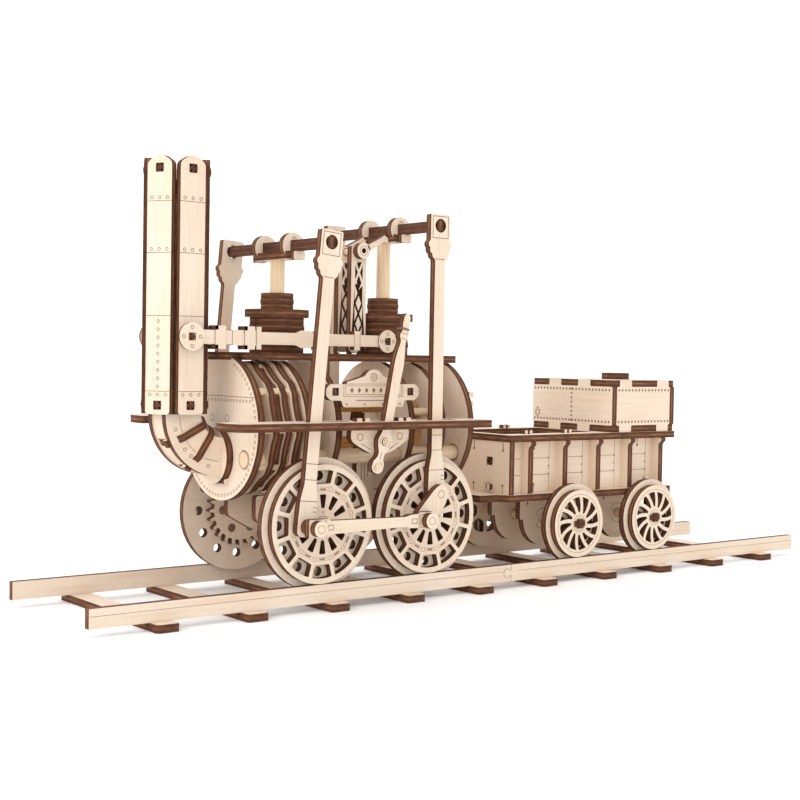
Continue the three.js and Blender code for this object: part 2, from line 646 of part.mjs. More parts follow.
// ---------------------------------------------------------------- steam pipes beside the cylinders
function steamPipe(side) {
  const inner = CHIMNEY_APOTHEM + RUN;
  const ends = [CHIMNEY_X - PIPE_LEAD, rearAxleX - PIPE_SETBACK];
  const half = PIPE_HEIGHT / 2;
  const bar = sideSheet(rectangle(...ends, PIPE_Z - half, PIPE_Z + half), side, inner, PLY);
  const rounds = ends.map((x, i) =>
    sideSheet(disc(x, PIPE_Z, PIPE_DISCS[i], 24), side, inner, PLY));
  const rise = half + COLLAR_RISE;
  const collars = COLLAR_OFFSETS.map((offset) => CHIMNEY_X + offset).map((x) =>
    sideSheet(rectangle(x - COLLAR_HALF, x + COLLAR_HALF, PIPE_Z - rise, PIPE_Z + rise), side, inner, PLY));
  return join(bar, ...rounds, ...collars);
}

// ---------------------------------------------------------------- footplates and their brackets
const FOOTPLATE_CORNER = 5;
const SLOT_HALF = CRANK_RADIUS * 0.65 + 3.6; // a rod's swing at this height and half its width
const START_SLOT = [START_PIVOT_X - 6.5, START_PIVOT_X + 7];

function sideBox(x0, x1, side, inner, outer) {
  const [y0, y1] = side < 0 ? [-outer, -inner] : [inner, outer];
  return boxOf(x0, x1, y0, y1, FOOTPLATE_Z - 1, FOOTPLATE_Z + PLY + 1);
}

function footplate(side) {
  const corner = FOOTPLATE_CORNER;
  const a = side * footplateInner;
  const b = side * FOOTPLATE_OUTER;
  const shape = outline([[FOOTPLATE_FRONT_X, a], [FOOTPLATE_REAR_X, a], [FOOTPLATE_REAR_X, b],
    [FOOTPLATE_FRONT_X + corner, b], [FOOTPLATE_FRONT_X + corner * 0.3, b - side * corner * 0.3],
    [FOOTPLATE_FRONT_X, b - side * corner]]);
  const slots = [FRONT_AXLE_X, rearAxleX].map((x) => [x - SLOT_HALF, x + SLOT_HALF]);
  const tools = slots.map(([x0, x1]) => sideBox(x0, x1, side, rodInner - RUN, rodInner + PLY + RUN));
  tools.push(sideBox(...START_SLOT, side, leverInner - RUN, leverInner + PLY + RUN));
  return cut(sheetZ(shape, FOOTPLATE_Z, PLY), ...tools);
}

// ---------------------------------------------------------------- start lever under and over the footplate
const LEVER_LEAN = 0.204;
const LEVER_TOP_Z = 110.8;
const LEVER_RADII = [3.4, 2.4];       // at the pivot and at the handle's top
const LEVER_TAIL = [-3.4, -9.4, 2.9]; // offset and radius of the round tail below the pivot

function bracket(side) {
  const top = FOOTPLATE_Z - SEAT;
  // half widths and depths of the shoulders, the slopes and the narrow bottom
  const left = [[14, 0], [14, 3], [11.5, 5.5], [3, 9]];
  const right = left.map(([a, b]) => [-a, b]).reverse();
  const shape = outline([...left, ...right].map(([a, b]) => [START_PIVOT_X - a, top - b]));
  return join(sideSheet(shape, side, bracketInner, PLY),
    sidePin(START_PIVOT_X, START_PIVOT_Z, side, bracketInner + 1, leverInner + PLY));
}

function startLever(side) {
  const rise = LEVER_TOP_Z - START_PIVOT_Z;
  const topX = START_PIVOT_X + rise * Math.tan(LEVER_LEAN);
  const [pivotRadius, topRadius] = LEVER_RADII;
  const [tailX, tailZ, tailRadius] = LEVER_TAIL;
  const arm = link(START_PIVOT_X, START_PIVOT_Z, pivotRadius, topX, LEVER_TOP_Z, topRadius, 4.6);
  const tail = link(START_PIVOT_X, START_PIVOT_Z, pivotRadius,
    START_PIVOT_X + tailX, START_PIVOT_Z + tailZ, tailRadius, 3.2);
  const whole = join(...[arm, tail].map((shape) => sideSheet(shape, side, leverInner, PLY)));
  const eye = disc(START_PIVOT_X, START_PIVOT_Z, PIN_RADIUS + RUN / 2, 12);
  return cut(whole, sideSheet(eye, side, leverInner - 1, PLY + 2));
}

for (const [name, side] of SIDES) {
  add(`${name}_steam_pipe`, steamPipe(side));
  add(`${name}_footplate`, footplate(side));
}
add('lever_bracket', bracket(-1));
add('start_lever', startLever(-1));

// ---------------------------------------------------------------- frames under the boiler
const FRAME_FRONT = 16;        // in front of the front axle
const FRAME_REAR = 20;         // behind the rear axle
const FRAME_BELLY = [5, 12];   // half widths of the belly round an axle, at its foot and shoulders
const FRAME_ARM_HALF = 4;
const FRAME_ARM_DROP = 8;      // arm's top below the boiler's axis

function mainFrame(side) {
  const x0 = FRONT_AXLE_X - FRAME_FRONT;
  const x1 = rearAxleX + FRAME_REAR;
  const [foot, shoulder] = FRAME_BELLY;
  const armTop = BOILER_Z - FRAME_ARM_DROP;
  const shape = outline([
    [x0, frameTopZ], [x0, axleZ], [FRONT_AXLE_X - foot, frameBottomZ],
    [FRONT_AXLE_X + foot, frameBottomZ], [FRONT_AXLE_X + shoulder, axleZ - 1],
    [rearAxleX - shoulder, axleZ - 1], [rearAxleX - foot, frameBottomZ],
    [rearAxleX + foot, frameBottomZ], [x1, axleZ], [x1, frameTopZ],
    [TOWER_X + FRAME_ARM_HALF, frameTopZ], [TOWER_X + FRAME_ARM_HALF, armTop],
    [TOWER_X - FRAME_ARM_HALF, armTop], [TOWER_X - FRAME_ARM_HALF, frameTopZ]].reverse());
  const bearing = AXLE_RADIUS + RUN;
  cutHoles(shape, disc(FRONT_AXLE_X, axleZ, bearing, 16), disc(rearAxleX, axleZ, bearing, 16),
    disc(pinionX, pinionZ, bearing, 16));
  return sideSheet(shape, side, frameInner, PLY);
}

for (const [name, side] of SIDES) add(`${name}_frame`, mainFrame(side));

// ---------------------------------------------------------------- lattice towers and radius levers
const TOWER_INNER = 3;
const TOWER_POST = 2.4;
const TOWER_BAYS = 3;
const TOWER_BAR = 2.2;
const TOWER_SOLID = 5;         // uncut height at the foot and below the pivot

function latticeTower(side) {
  const x0 = TOWER_X - TOWER_WIDTH / 2;
  const x1 = TOWER_X + TOWER_WIDTH / 2;
  const z0 = DECK_TOP_Z + SEAT;
  const z1 = LEVER_PIVOT_Z + 2;
  const shape = rectangle(x0, x1, z0, z1);
  const low = z0 + TOWER_SOLID;
  const pitch = (LEVER_PIVOT_Z - TOWER_SOLID - low) / TOWER_BAYS;
  for (let i = 0; i < TOWER_BAYS; i++) {
    const b0 = low + i * pitch + TOWER_BAR;
    const b1 = low + (i + 1) * pitch - TOWER_BAR;
    const [left, right] = [x0 + TOWER_POST, x1 - TOWER_POST];
    cutHoles(shape, i % 2 ? outline([[left, b0], [right, b1], [left, b1]])
      : outline([[left, b0], [right, b0], [right, b1]]));
  }
  cutHoles(shape, disc(TOWER_X, LEVER_PIVOT_Z, PIN_RADIUS + RUN, 12));
  return sideSheet(shape, side, TOWER_INNER, PLY);
}

// The arm runs from the tower's top up to the rear crosshead and stops short of its saddle.
const ARM_LENGTH = 10;
const ARM_TIP_DROP = 8.4;      // arm's tip below the crosshead beam
const ARM_RADII = [2.7, 1.6];

function radiusArm(side) {
  const inner = TOWER_INNER + PLY + RUN;
  const rise = rearBeamZ - ARM_TIP_DROP - LEVER_PIVOT_Z;
  const tipX = TOWER_X + Math.sqrt(ARM_LENGTH ** 2 - rise ** 2);
  const tipZ = LEVER_PIVOT_Z + rise;
  const arm = link(TOWER_X, LEVER_PIVOT_Z, ARM_RADII[0], tipX, tipZ, ARM_RADII[1], 2.8);
  return sideSheet(arm, side, inner, PLY);
}

for (const [name, side] of SIDES) add(`${name}_tower`, latticeTower(side));
add('radius_levers', join(radiusArm(-1), radiusArm(1),
  rodY(TOWER_X, LEVER_PIVOT_Z, PIN_RADIUS, -TOWER_INNER - PLY - 1, TOWER_INNER + PLY + 1, 12)));

// ---------------------------------------------------------------- nameplate on the near side of the boiler
const PLATE_X = (FRONT_AXLE_X + rearAxleX) / 2 - 1;
const PLATE_LOW = BOILER_Z + 8.6;
const PLATE_HOLE = [17.5, 6];  // square holes, from the middle and above the lower edge

// A band with a scrolled pediment above it and a narrower panel below.
function nameplate() {
  const right = [[0, 14.6], [2, 14.6], [4.5, 12.4], [10.5, 11.5], [13, 9], [20.5, 9], [22.6, 6.8],
    [22.6, 4], [20.5, 3], [16, 3], [14, 0]];
  const left = right.slice(1).map(([a, b]) => [-a, b]).reverse();
  const shape = outline([...right, ...left].reverse().map(([a, b]) => [PLATE_X + a, PLATE_LOW + b]));
  const inner = footplateInner;
  const half = PLY / 2;
  const [offset, rise] = PLATE_HOLE;
  const holes = [PLATE_X - offset, PLATE_X + offset].map((x) => boxOf(x - half, x + half,
    -inner - PLY - 1, 1 - inner, PLATE_LOW + rise - half, PLATE_LOW + rise + half));
  return cut(sideSheet(shape, -1, inner, PLY), ...holes);
}

add('nameplate', nameplate());

// ---------------------------------------------------------------- tender
const STEP_INSET = 5;          // platform narrower than the floor on each side
const STEP_LENGTH = 3;

function tenderFloor() {
  const wide = floorHalfWidth;
  const narrow = floorHalfWidth - STEP_INSET;
  const [front, end] = [TENDER_START_X - PLATFORM_LENGTH, tenderEnd - STEP_LENGTH];
  const shape = outline([
    [TENDER_START_X, -wide], [end, -wide], [end, wide], [TENDER_START_X, wide],
    [TENDER_START_X - STEP_LENGTH, narrow], [front, narrow - 1], [front, 1 - narrow],
    [TENDER_START_X - STEP_LENGTH, -narrow]]);
  return sheetZ(shape, floorZ, PLY);
}

// Planked side with flared posts standing out from it.
function tenderSide(side) {
  const z0 = floorTop + SEAT;
  const z1 = shelfZ - SEAT;
  const x0 = TENDER_START_X + PLY + SEAT;
  const x1 = rearWallX + PLY;
  const wall = sideSheet(rectangle(x0, x1, z0, z1), side, tenderWallOuter - PLY, PLY);
  const posts = Array.from({ length: POST_COUNT }, (_, i) => {
    const x = TENDER_START_X + POST_START + i * POST_PITCH;
    const inner = tenderWallOuter - 0.1;
    const outer = TENDER_HALF_WIDTH - POST_FLARE;
    const shape = outline([[inner, z0], [outer, z0], [outer, z1 - 2 - 1.4],
      [TENDER_HALF_WIDTH, z1 - 1.4], [TENDER_HALF_WIDTH, z1], [inner, z1]]
      .map(([a, b]) => [side * a, b]));
    return sheetX(shape, x - PLY / 2, PLY);
  });
  return join(wall, ...posts);
}

function tenderEndWall(xLow, half) {
  const shape = rectangle(-half, half, floorTop + SEAT, shelfZ - SEAT);
  const hole = WALL_HOLE_HALF;
  const z = floorTop + WALL_HOLE_OFFSET;
  return cut(sheetX(shape, xLow, PLY), ...SIDES.map(([, side]) => side * WALL_HOLE_OFFSET).map((y) =>
    boxOf(xLow - 1, xLow + PLY + 1, y - hole, y + hole, z - hole, z + hole)));
}

// The shelf is a rim round the open coal bunker, solid under the tank.
function tenderShelf() {
  const shape = rectangle(TENDER_START_X - 0.5, tenderEnd, -TENDER_HALF_WIDTH, TENDER_HALF_WIDTH);
  const rim = POST_DEPTH + PLY;
  shape.holes.push(rectangle(TENDER_START_X + PLY + 1, tankX - 4,
    -TENDER_HALF_WIDTH + rim, TENDER_HALF_WIDTH - rim));
  return sheetZ(shape, shelfZ, PLY);
}

// The tank is a box open underneath, standing on the shelf.
function tank() {
  const x1 = tankX + TANK_LENGTH;
  const outer = boxOf(tankX, x1, -TANK_HALF_WIDTH, TANK_HALF_WIDTH, tankZ, tankZ + TANK_HEIGHT);
  const inner = boxOf(tankX + PLY, x1 - PLY, -TANK_HALF_WIDTH + PLY, TANK_HALF_WIDTH - PLY,
    tankZ - 1, tankZ + TANK_HEIGHT - PLY);
  return cut(outer, inner);
}

function hatch() {
  const x = tankX + HATCH_OFFSET;
  const z = tankZ + TANK_HEIGHT + SEAT;
  return boxOf(x, x + HATCH_LENGTH, -HATCH_HALF_WIDTH, HATCH_HALF_WIDTH, z, z + PLY);
}

// Hornblocks hang from the floor and carry both tender axles.
function pedestal(side) {
  const top = floorZ - SEAT;
  const x0 = TENDER_AXLE_X;
  const x1 = TENDER_AXLE_X + TENDER_WHEEL_BASE;
  const steps = 12;
  const horn = (x) => [[x - HORN_HALF, tenderAxleZ + 0.5],
    ...Array.from({ length: steps + 1 }, (_, i) => PI + (i / steps) * PI).map((turn) =>
      [x + HORN_RADIUS * cos(turn), tenderAxleZ + HORN_RADIUS * sin(turn)]),
    [x + HORN_HALF, tenderAxleZ + 0.5]];
  const shape = outline([[x0 - HORN_HALF, top], ...horn(x0), [x0 + HORN_HALF, top - HORN_BAR],
    [x1 - HORN_HALF, top - HORN_BAR], ...horn(x1), [x1 + HORN_HALF, top]]);
  const bearing = AXLE_RADIUS + RUN;
  cutHoles(shape, disc(x0, tenderAxleZ, bearing, 16), disc(x1, tenderAxleZ, bearing, 16));
  return sideSheet(shape, side, HORN_INNER, PLY);
}

add('tender_floor', tenderFloor());
for (const [name, side] of SIDES) {
  add(`${name}_tender_side`, tenderSide(side));
  add(`${name}_tender_pedestal`, pedestal(side));
}
// The front wall closes both side walls, and the rear wall stands between them.
add('tender_front_wall', tenderEndWall(TENDER_START_X, TENDER_HALF_WIDTH - 1));
add('tender_rear_wall', tenderEndWall(rearWallX, tenderWallOuter - PLY - SEAT));
add('tender_shelf', tenderShelf());
add('tank', tank());
add('tank_hatch', hatch());
add('tender_front_wheelset', tenderWheelset(TENDER_AXLE_X));
add('tender_rear_wheelset', tenderWheelset(TENDER_AXLE_X + TENDER_WHEEL_BASE));
const drawbarTop = floorZ - SEAT;
add('drawbar', boxOf(boilerRearX - 15, TENDER_START_X - PLATFORM_LENGTH + 10,
  -DRAWBAR_HALF_WIDTH, DRAWBAR_HALF_WIDTH, drawbarTop - PLY, drawbarTop));

export default model;
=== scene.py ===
# Laser-cut birch plywood model of an early steam locomotive and its tender, standing on a short
# track.  The sections follow the order in which the model is put together, from the track up.
import math

import bpy
from mathutils import Matrix, Vector
from mathutils.geometry import tessellate_polygon


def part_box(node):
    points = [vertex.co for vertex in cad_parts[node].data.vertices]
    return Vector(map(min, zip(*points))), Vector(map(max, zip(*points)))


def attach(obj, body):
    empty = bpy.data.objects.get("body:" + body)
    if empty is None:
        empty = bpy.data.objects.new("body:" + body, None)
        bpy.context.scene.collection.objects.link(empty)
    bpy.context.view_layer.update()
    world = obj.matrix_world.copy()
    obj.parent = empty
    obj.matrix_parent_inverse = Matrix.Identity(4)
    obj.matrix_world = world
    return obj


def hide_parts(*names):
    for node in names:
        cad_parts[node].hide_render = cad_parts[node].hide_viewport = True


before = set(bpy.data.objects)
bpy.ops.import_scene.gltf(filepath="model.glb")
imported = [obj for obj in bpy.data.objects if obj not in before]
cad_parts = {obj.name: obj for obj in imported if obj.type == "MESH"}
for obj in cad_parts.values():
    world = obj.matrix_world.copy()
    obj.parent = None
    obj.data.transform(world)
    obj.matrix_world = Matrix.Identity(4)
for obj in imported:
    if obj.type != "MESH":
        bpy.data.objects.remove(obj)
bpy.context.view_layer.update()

# ---------------------------------------------------------------- camera, light and floor
# A pale sweep under an even white sky, with three broad soft lights: a weak one on the near side,
# a stronger one at the chimney end and one behind.  A low camera looks along the near side.
EYE = Vector((-0.39278, -0.46295, 0.09653))
YAW, PITCH, ROLL = 0.658957, -0.030471, 0.016944
forward = Vector((math.cos(PITCH) * math.sin(YAW), math.cos(PITCH) * math.cos(YAW), math.sin(PITCH)))
level_right = Vector((math.cos(YAW), -math.sin(YAW), 0))
level_up = level_right.cross(forward)
right = level_right * math.cos(ROLL) + level_up * math.sin(ROLL)
up = level_up * math.cos(ROLL) - level_right * math.sin(ROLL)

camera_data = bpy.data.cameras.new("studio_camera")
camera_data.sensor_width = 36
camera_data.lens = 61.859
camera_data.clip_start = 0.01
camera = bpy.data.objects.new("studio_camera", camera_data)
camera.matrix_world = Matrix((right, up, -forward)).transposed().to_4x4()
camera.matrix_world.translation = EYE
bpy.context.collection.objects.link(camera)
bpy.context.scene.camera = camera
bpy.context.scene.view_settings.view_transform = "Standard"

LIT_POINT = Vector((0.0, 0.0, 0.06))


def soft_light(name, place, size, watts):
    lamp = bpy.data.lights.new(name, "AREA")
    lamp.shape = "DISK"
    lamp.size = size
    lamp.energy = watts
    holder = bpy.data.objects.new(name, lamp)
    holder.location = place
    holder.rotation_euler = (LIT_POINT - Vector(place)).to_track_quat("-Z", "Y").to_euler()
    bpy.context.collection.objects.link(holder)


soft_light("key_light", (-0.5, -1.0, 0.7), 0.8, 0.7)
soft_light("fill_light", (-1.2, -0.2, 0.5), 0.9, 4.6)
soft_light("back_light", (0.3, 0.9, 0.8), 0.8, 1.2)

SKY_STRENGTH = 1.22
world = bpy.data.worlds.new("studio")
bpy.context.scene.world = world
world.use_nodes = True
world.node_tree.nodes["Background"].inputs["Color"].default_value = (1.0, 1.0, 1.0, 1)
world.node_tree.nodes["Background"].inputs["Strength"].default_value = SKY_STRENGTH


def shader_of(material):
    return material.node_tree.nodes["Principled BSDF"]


def plain_material(name, colour, roughness):
    material = bpy.data.materials.new(name)
    material.use_nodes = True
    shader_of(material).inputs["Base Color"].default_value = (*colour, 1)
    shader_of(material).inputs["Roughness"].default_value = roughness
    return material


FLOOR_REACH = 6.0
FLOOR_WHITE = 0.985
floor_corners = [(x * FLOOR_REACH, y * FLOOR_REACH, 0) for x, y in ((-1, -1), (1, -1), (1, 1), (-1, 1))]
floor_mesh = bpy.data.meshes.new("studio_floor")
floor_mesh.from_pydata(floor_corners, [], [(0, 1, 2, 3)])
floor_mesh.materials.append(plain_material("studio_floor", (FLOOR_WHITE, FLOOR_WHITE, FLOOR_WHITE), 0.95))
floor = bpy.data.objects.new("studio_floor", floor_mesh)
bpy.context.collection.objects.link(floor)

# ---------------------------------------------------------------- track
# Two rails on edge in each half, slotted over five sleepers, all cut from three-ply birch.
# A round knob on each rail of one half drops into a notch in the other.
MM = 0.001
PLY = 3.0
FACE, EDGE, MARK, DOWEL = range(4)
# In which way a sheet lies: its two drawn directions and the one through its thickness.
ALONG = Matrix(((1, 0, 0), (0, 0, 1), (0, 1, 0)))
ACROSS = Matrix(((0, 0, 1), (1, 0, 0), (0, 1, 0)))
FLAT = Matrix(((1, 0, 0), (0, 1, 0), (0, 0, 1)))
WHITE = (1.0, 1.0, 1.0)


def drawn_place(material):
    """Where a point lies on its own sheet, in millimetres."""
    place = material.node_tree.nodes.new("ShaderNodeUVMap")
    place.uv_map = "sheet"
    return place.outputs["UV"]


def grain_nodes(material, stretch, scale, detail):
    nodes, links = material.node_tree.nodes, material.node_tree.links
    mapping = nodes.new("ShaderNodeMapping")
    mapping.inputs["Scale"].default_value = (*stretch, 1)
    noise = nodes.new("ShaderNodeTexNoise")
    noise.inputs["Scale"].default_value = scale
    noise.inputs["Detail"].default_value = detail
    links.new(drawn_place(material), mapping.inputs["Vector"])
    links.new(mapping.outputs["Vector"], noise.inputs["Vector"])
    return noise.outputs["Fac"]


def ramp_node(material, factor, *stops):
    ramp = material.node_tree.nodes.new("ShaderNodeValToRGB")
    elements = ramp.color_ramp.elements
    while len(elements) < len(stops):
        elements.new(0.5)
    for element, (position, colour) in zip(elements, stops):
        element.position = position
        element.color = (*colour, 1)
    material.node_tree.links.new(factor, ramp.inputs["Fac"])
    return ramp.outputs["Color"]


def mix_node(material, blend, factor, first, second):
    mix = material.node_tree.nodes.new("ShaderNodeMix")
    mix.data_type = "RGBA"
    mix.blend_type = blend
    links = material.node_tree.links
    if isinstance(factor, float):
        mix.inputs["Factor"].default_value = factor
    else:
        links.new(factor, mix.inputs["Factor"])
    links.new(first, mix.inputs["A"])
    links.new(second, mix.inputs["B"])
    return mix.outputs["Result"]


def finish_with(material, colour, height=None, strength=0.0, depth=0.0):
    """Gives a material its colour pattern and, where there is a height, its relief."""
    nodes, links = material.node_tree.nodes, material.node_tree.links
    links.new(colour, shader_of(material).inputs["Base Color"])
    if height:
        bump = nodes.new("ShaderNodeBump")
        bump.inputs["Strength"].default_value = strength
        bump.inputs["Distance"].default_value = depth * MM
        links.new(height, bump.inputs["Height"])
        links.new(bump.outputs["Normal"], shader_of(material).inputs["Normal"])
    return material


def birch_face():
    """Sanded birch veneer: cream, with long fine streaks, a broad cloudiness and small flecks."""
    material = plain_material("birch_face", (0.8, 0.66, 0.5), 0.62)
    shader_of(material).inputs["Specular IOR Level"].default_value = 0.25
    streaks = grain_nodes(material, (0.035, 0.9), 1.1, 5)
    cloud = grain_nodes(material, (0.02, 0.07), 1.0, 2)
    flecks = grain_nodes(material, (0.25, 3.2), 1.6, 2)
    wood = ramp_node(material, streaks, (0.3, (0.735, 0.595, 0.465)), (0.47, (0.775, 0.645, 0.52)),
                     (0.7, (0.8, 0.68, 0.56)))
    cloudy = ramp_node(material, cloud, (0.3, (0.93, 0.88, 0.83)), (0.7, WHITE))
    flecked = ramp_node(material, flecks, (0.27, (0.91, 0.85, 0.79)), (0.4, WHITE))
    colour = mix_node(material, "MULTIPLY", 1.0, wood, cloudy)
    colour = mix_node(material, "MULTIPLY", 1.0, colour, flecked)
    return finish_with(material, colour, streaks, 0.25, 0.06)


def burnt_edge():
    """Edge left by the laser: three plies, charred brown, the middle one lighter in patches."""
    material = plain_material("burnt_edge", (0.16, 0.07, 0.035), 0.8)
    shader_of(material).inputs["Specular IOR Level"].default_value = 0.2
    nodes, links = material.node_tree.nodes, material.node_tree.links
    split = nodes.new("ShaderNodeSeparateXYZ")
    links.new(drawn_place(material), split.inputs["Vector"])
    share = nodes.new("ShaderNodeMath")
    share.operation = "DIVIDE"
    share.inputs[1].default_value = PLY
    links.new(split.outputs["Y"], share.inputs[0])
    glue, core = (0.035, 0.013, 0.008), (0.31, 0.135, 0.06)
    plies = ramp_node(material, share.outputs["Value"], (0.0, (0.07, 0.028, 0.014)),
                      (0.3, (0.115, 0.045, 0.022)), (0.36, glue), (0.4, core), (0.6, core), (0.64, glue),
                      (0.7, (0.12, 0.046, 0.022)), (1.0, (0.075, 0.028, 0.015)))
    scorch = grain_nodes(material, (0.22, 0.5), 1.0, 4)
    brown = ramp_node(material, scorch, (0.32, (0.055, 0.022, 0.012)), (0.68, (0.15, 0.06, 0.029)))
    patches = ramp_node(material, grain_nodes(material, (0.09, 0.1), 1.0, 2), (0.38, (0.1, 0.1, 0.1)),
                        (0.62, (0.85, 0.85, 0.85)))
    return finish_with(material, mix_node(material, "MIX", patches, brown, plies), scorch, 0.5, 0.12)


def engraved_mark():
    """Shallow laser engraving, a thin brown char a little uneven along its length."""
    material = plain_material("engraved_mark", (0.2, 0.11, 0.065), 0.85)
    uneven = grain_nodes(material, (0.6, 0.6), 1.0, 3)
    return finish_with(material, ramp_node(material, uneven, (0.3, (0.13, 0.068, 0.038)),
                                           (0.7, (0.27, 0.155, 0.09))))


def turned_dowel():
    """Round birch dowel, yellower than the sheet, with fine grain along it."""
    material = plain_material("turned_dowel", (0.75, 0.56, 0.36), 0.55)
    streaks = grain_nodes(material, (1.6, 0.05), 1.0, 4)
    colour = ramp_node(material, streaks, (0.3, (0.66, 0.47, 0.29)), (0.7, (0.84, 0.67, 0.46)))
    return finish_with(material, colour, streaks, 0.2, 0.08)


FINISHES = [birch_face(), burnt_edge(), engraved_mark(), turned_dowel()]


def span(node):
    """The lowest and the highest corner of a plain node, in millimetres."""
    low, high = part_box(node)
    return low / MM, high / MM


def polar(radius, angle, a=0.0, b=0.0):
    return a + radius * math.cos(angle), b + radius * math.sin(angle)


def circle(a, b, radius, count=32, start=0.0, sweep=math.tau):
    points = count if sweep == math.tau else count + 1
    return [polar(radius, start + sweep * i / count, a, b) for i in range(points)]


def oblong(a0, a1, b0, b1):
    return [(a0, b0), (a1, b0), (a1, b1), (a0, b1)]


def block(a, b, half_a, half_b):
    """An oblong drawn about its middle."""
    return oblong(a - half_a, a + half_a, b - half_b, b + half_b)


def area(loop):
    return sum(p[0] * q[1] - q[0] * p[1] for p, q in zip(loop, loop[1:] + loop[:1])) / 2


def is_convex(loop):
    turns = [(q[0] - p[0]) * (r[1] - q[1]) - (q[1] - p[1]) * (r[0] - q[0])
             for p, q, r in zip(loop, loop[1:] + loop[:1], loop[2:] + loop[:2])]
    return all(turn > -1e-9 for turn in turns) or all(turn < 1e-9 for turn in turns)


def rounded(loop, radius, steps=3):
    """The same outline with each corner eased by a short curve."""
    eased = []
    for before, corner, after in zip(loop[-1:] + loop[:-1], loop, loop[1:] + loop[:1]):
        corner, before, after = Vector(corner), Vector(before), Vector(after)
        back, ahead = before - corner, after - corner
        if back.length < 1e-6 or ahead.length < 1e-6:
            continue
        first = corner + back.normalized() * min(radius, back.length * 0.45)
        last = corner + ahead.normalized() * min(radius, ahead.length * 0.45)
        for i in range(steps + 1):
            t = i / steps
            eased.append(tuple(first * (1 - t) ** 2 + corner * 2 * t * (1 - t) + last * t * t))
    return eased


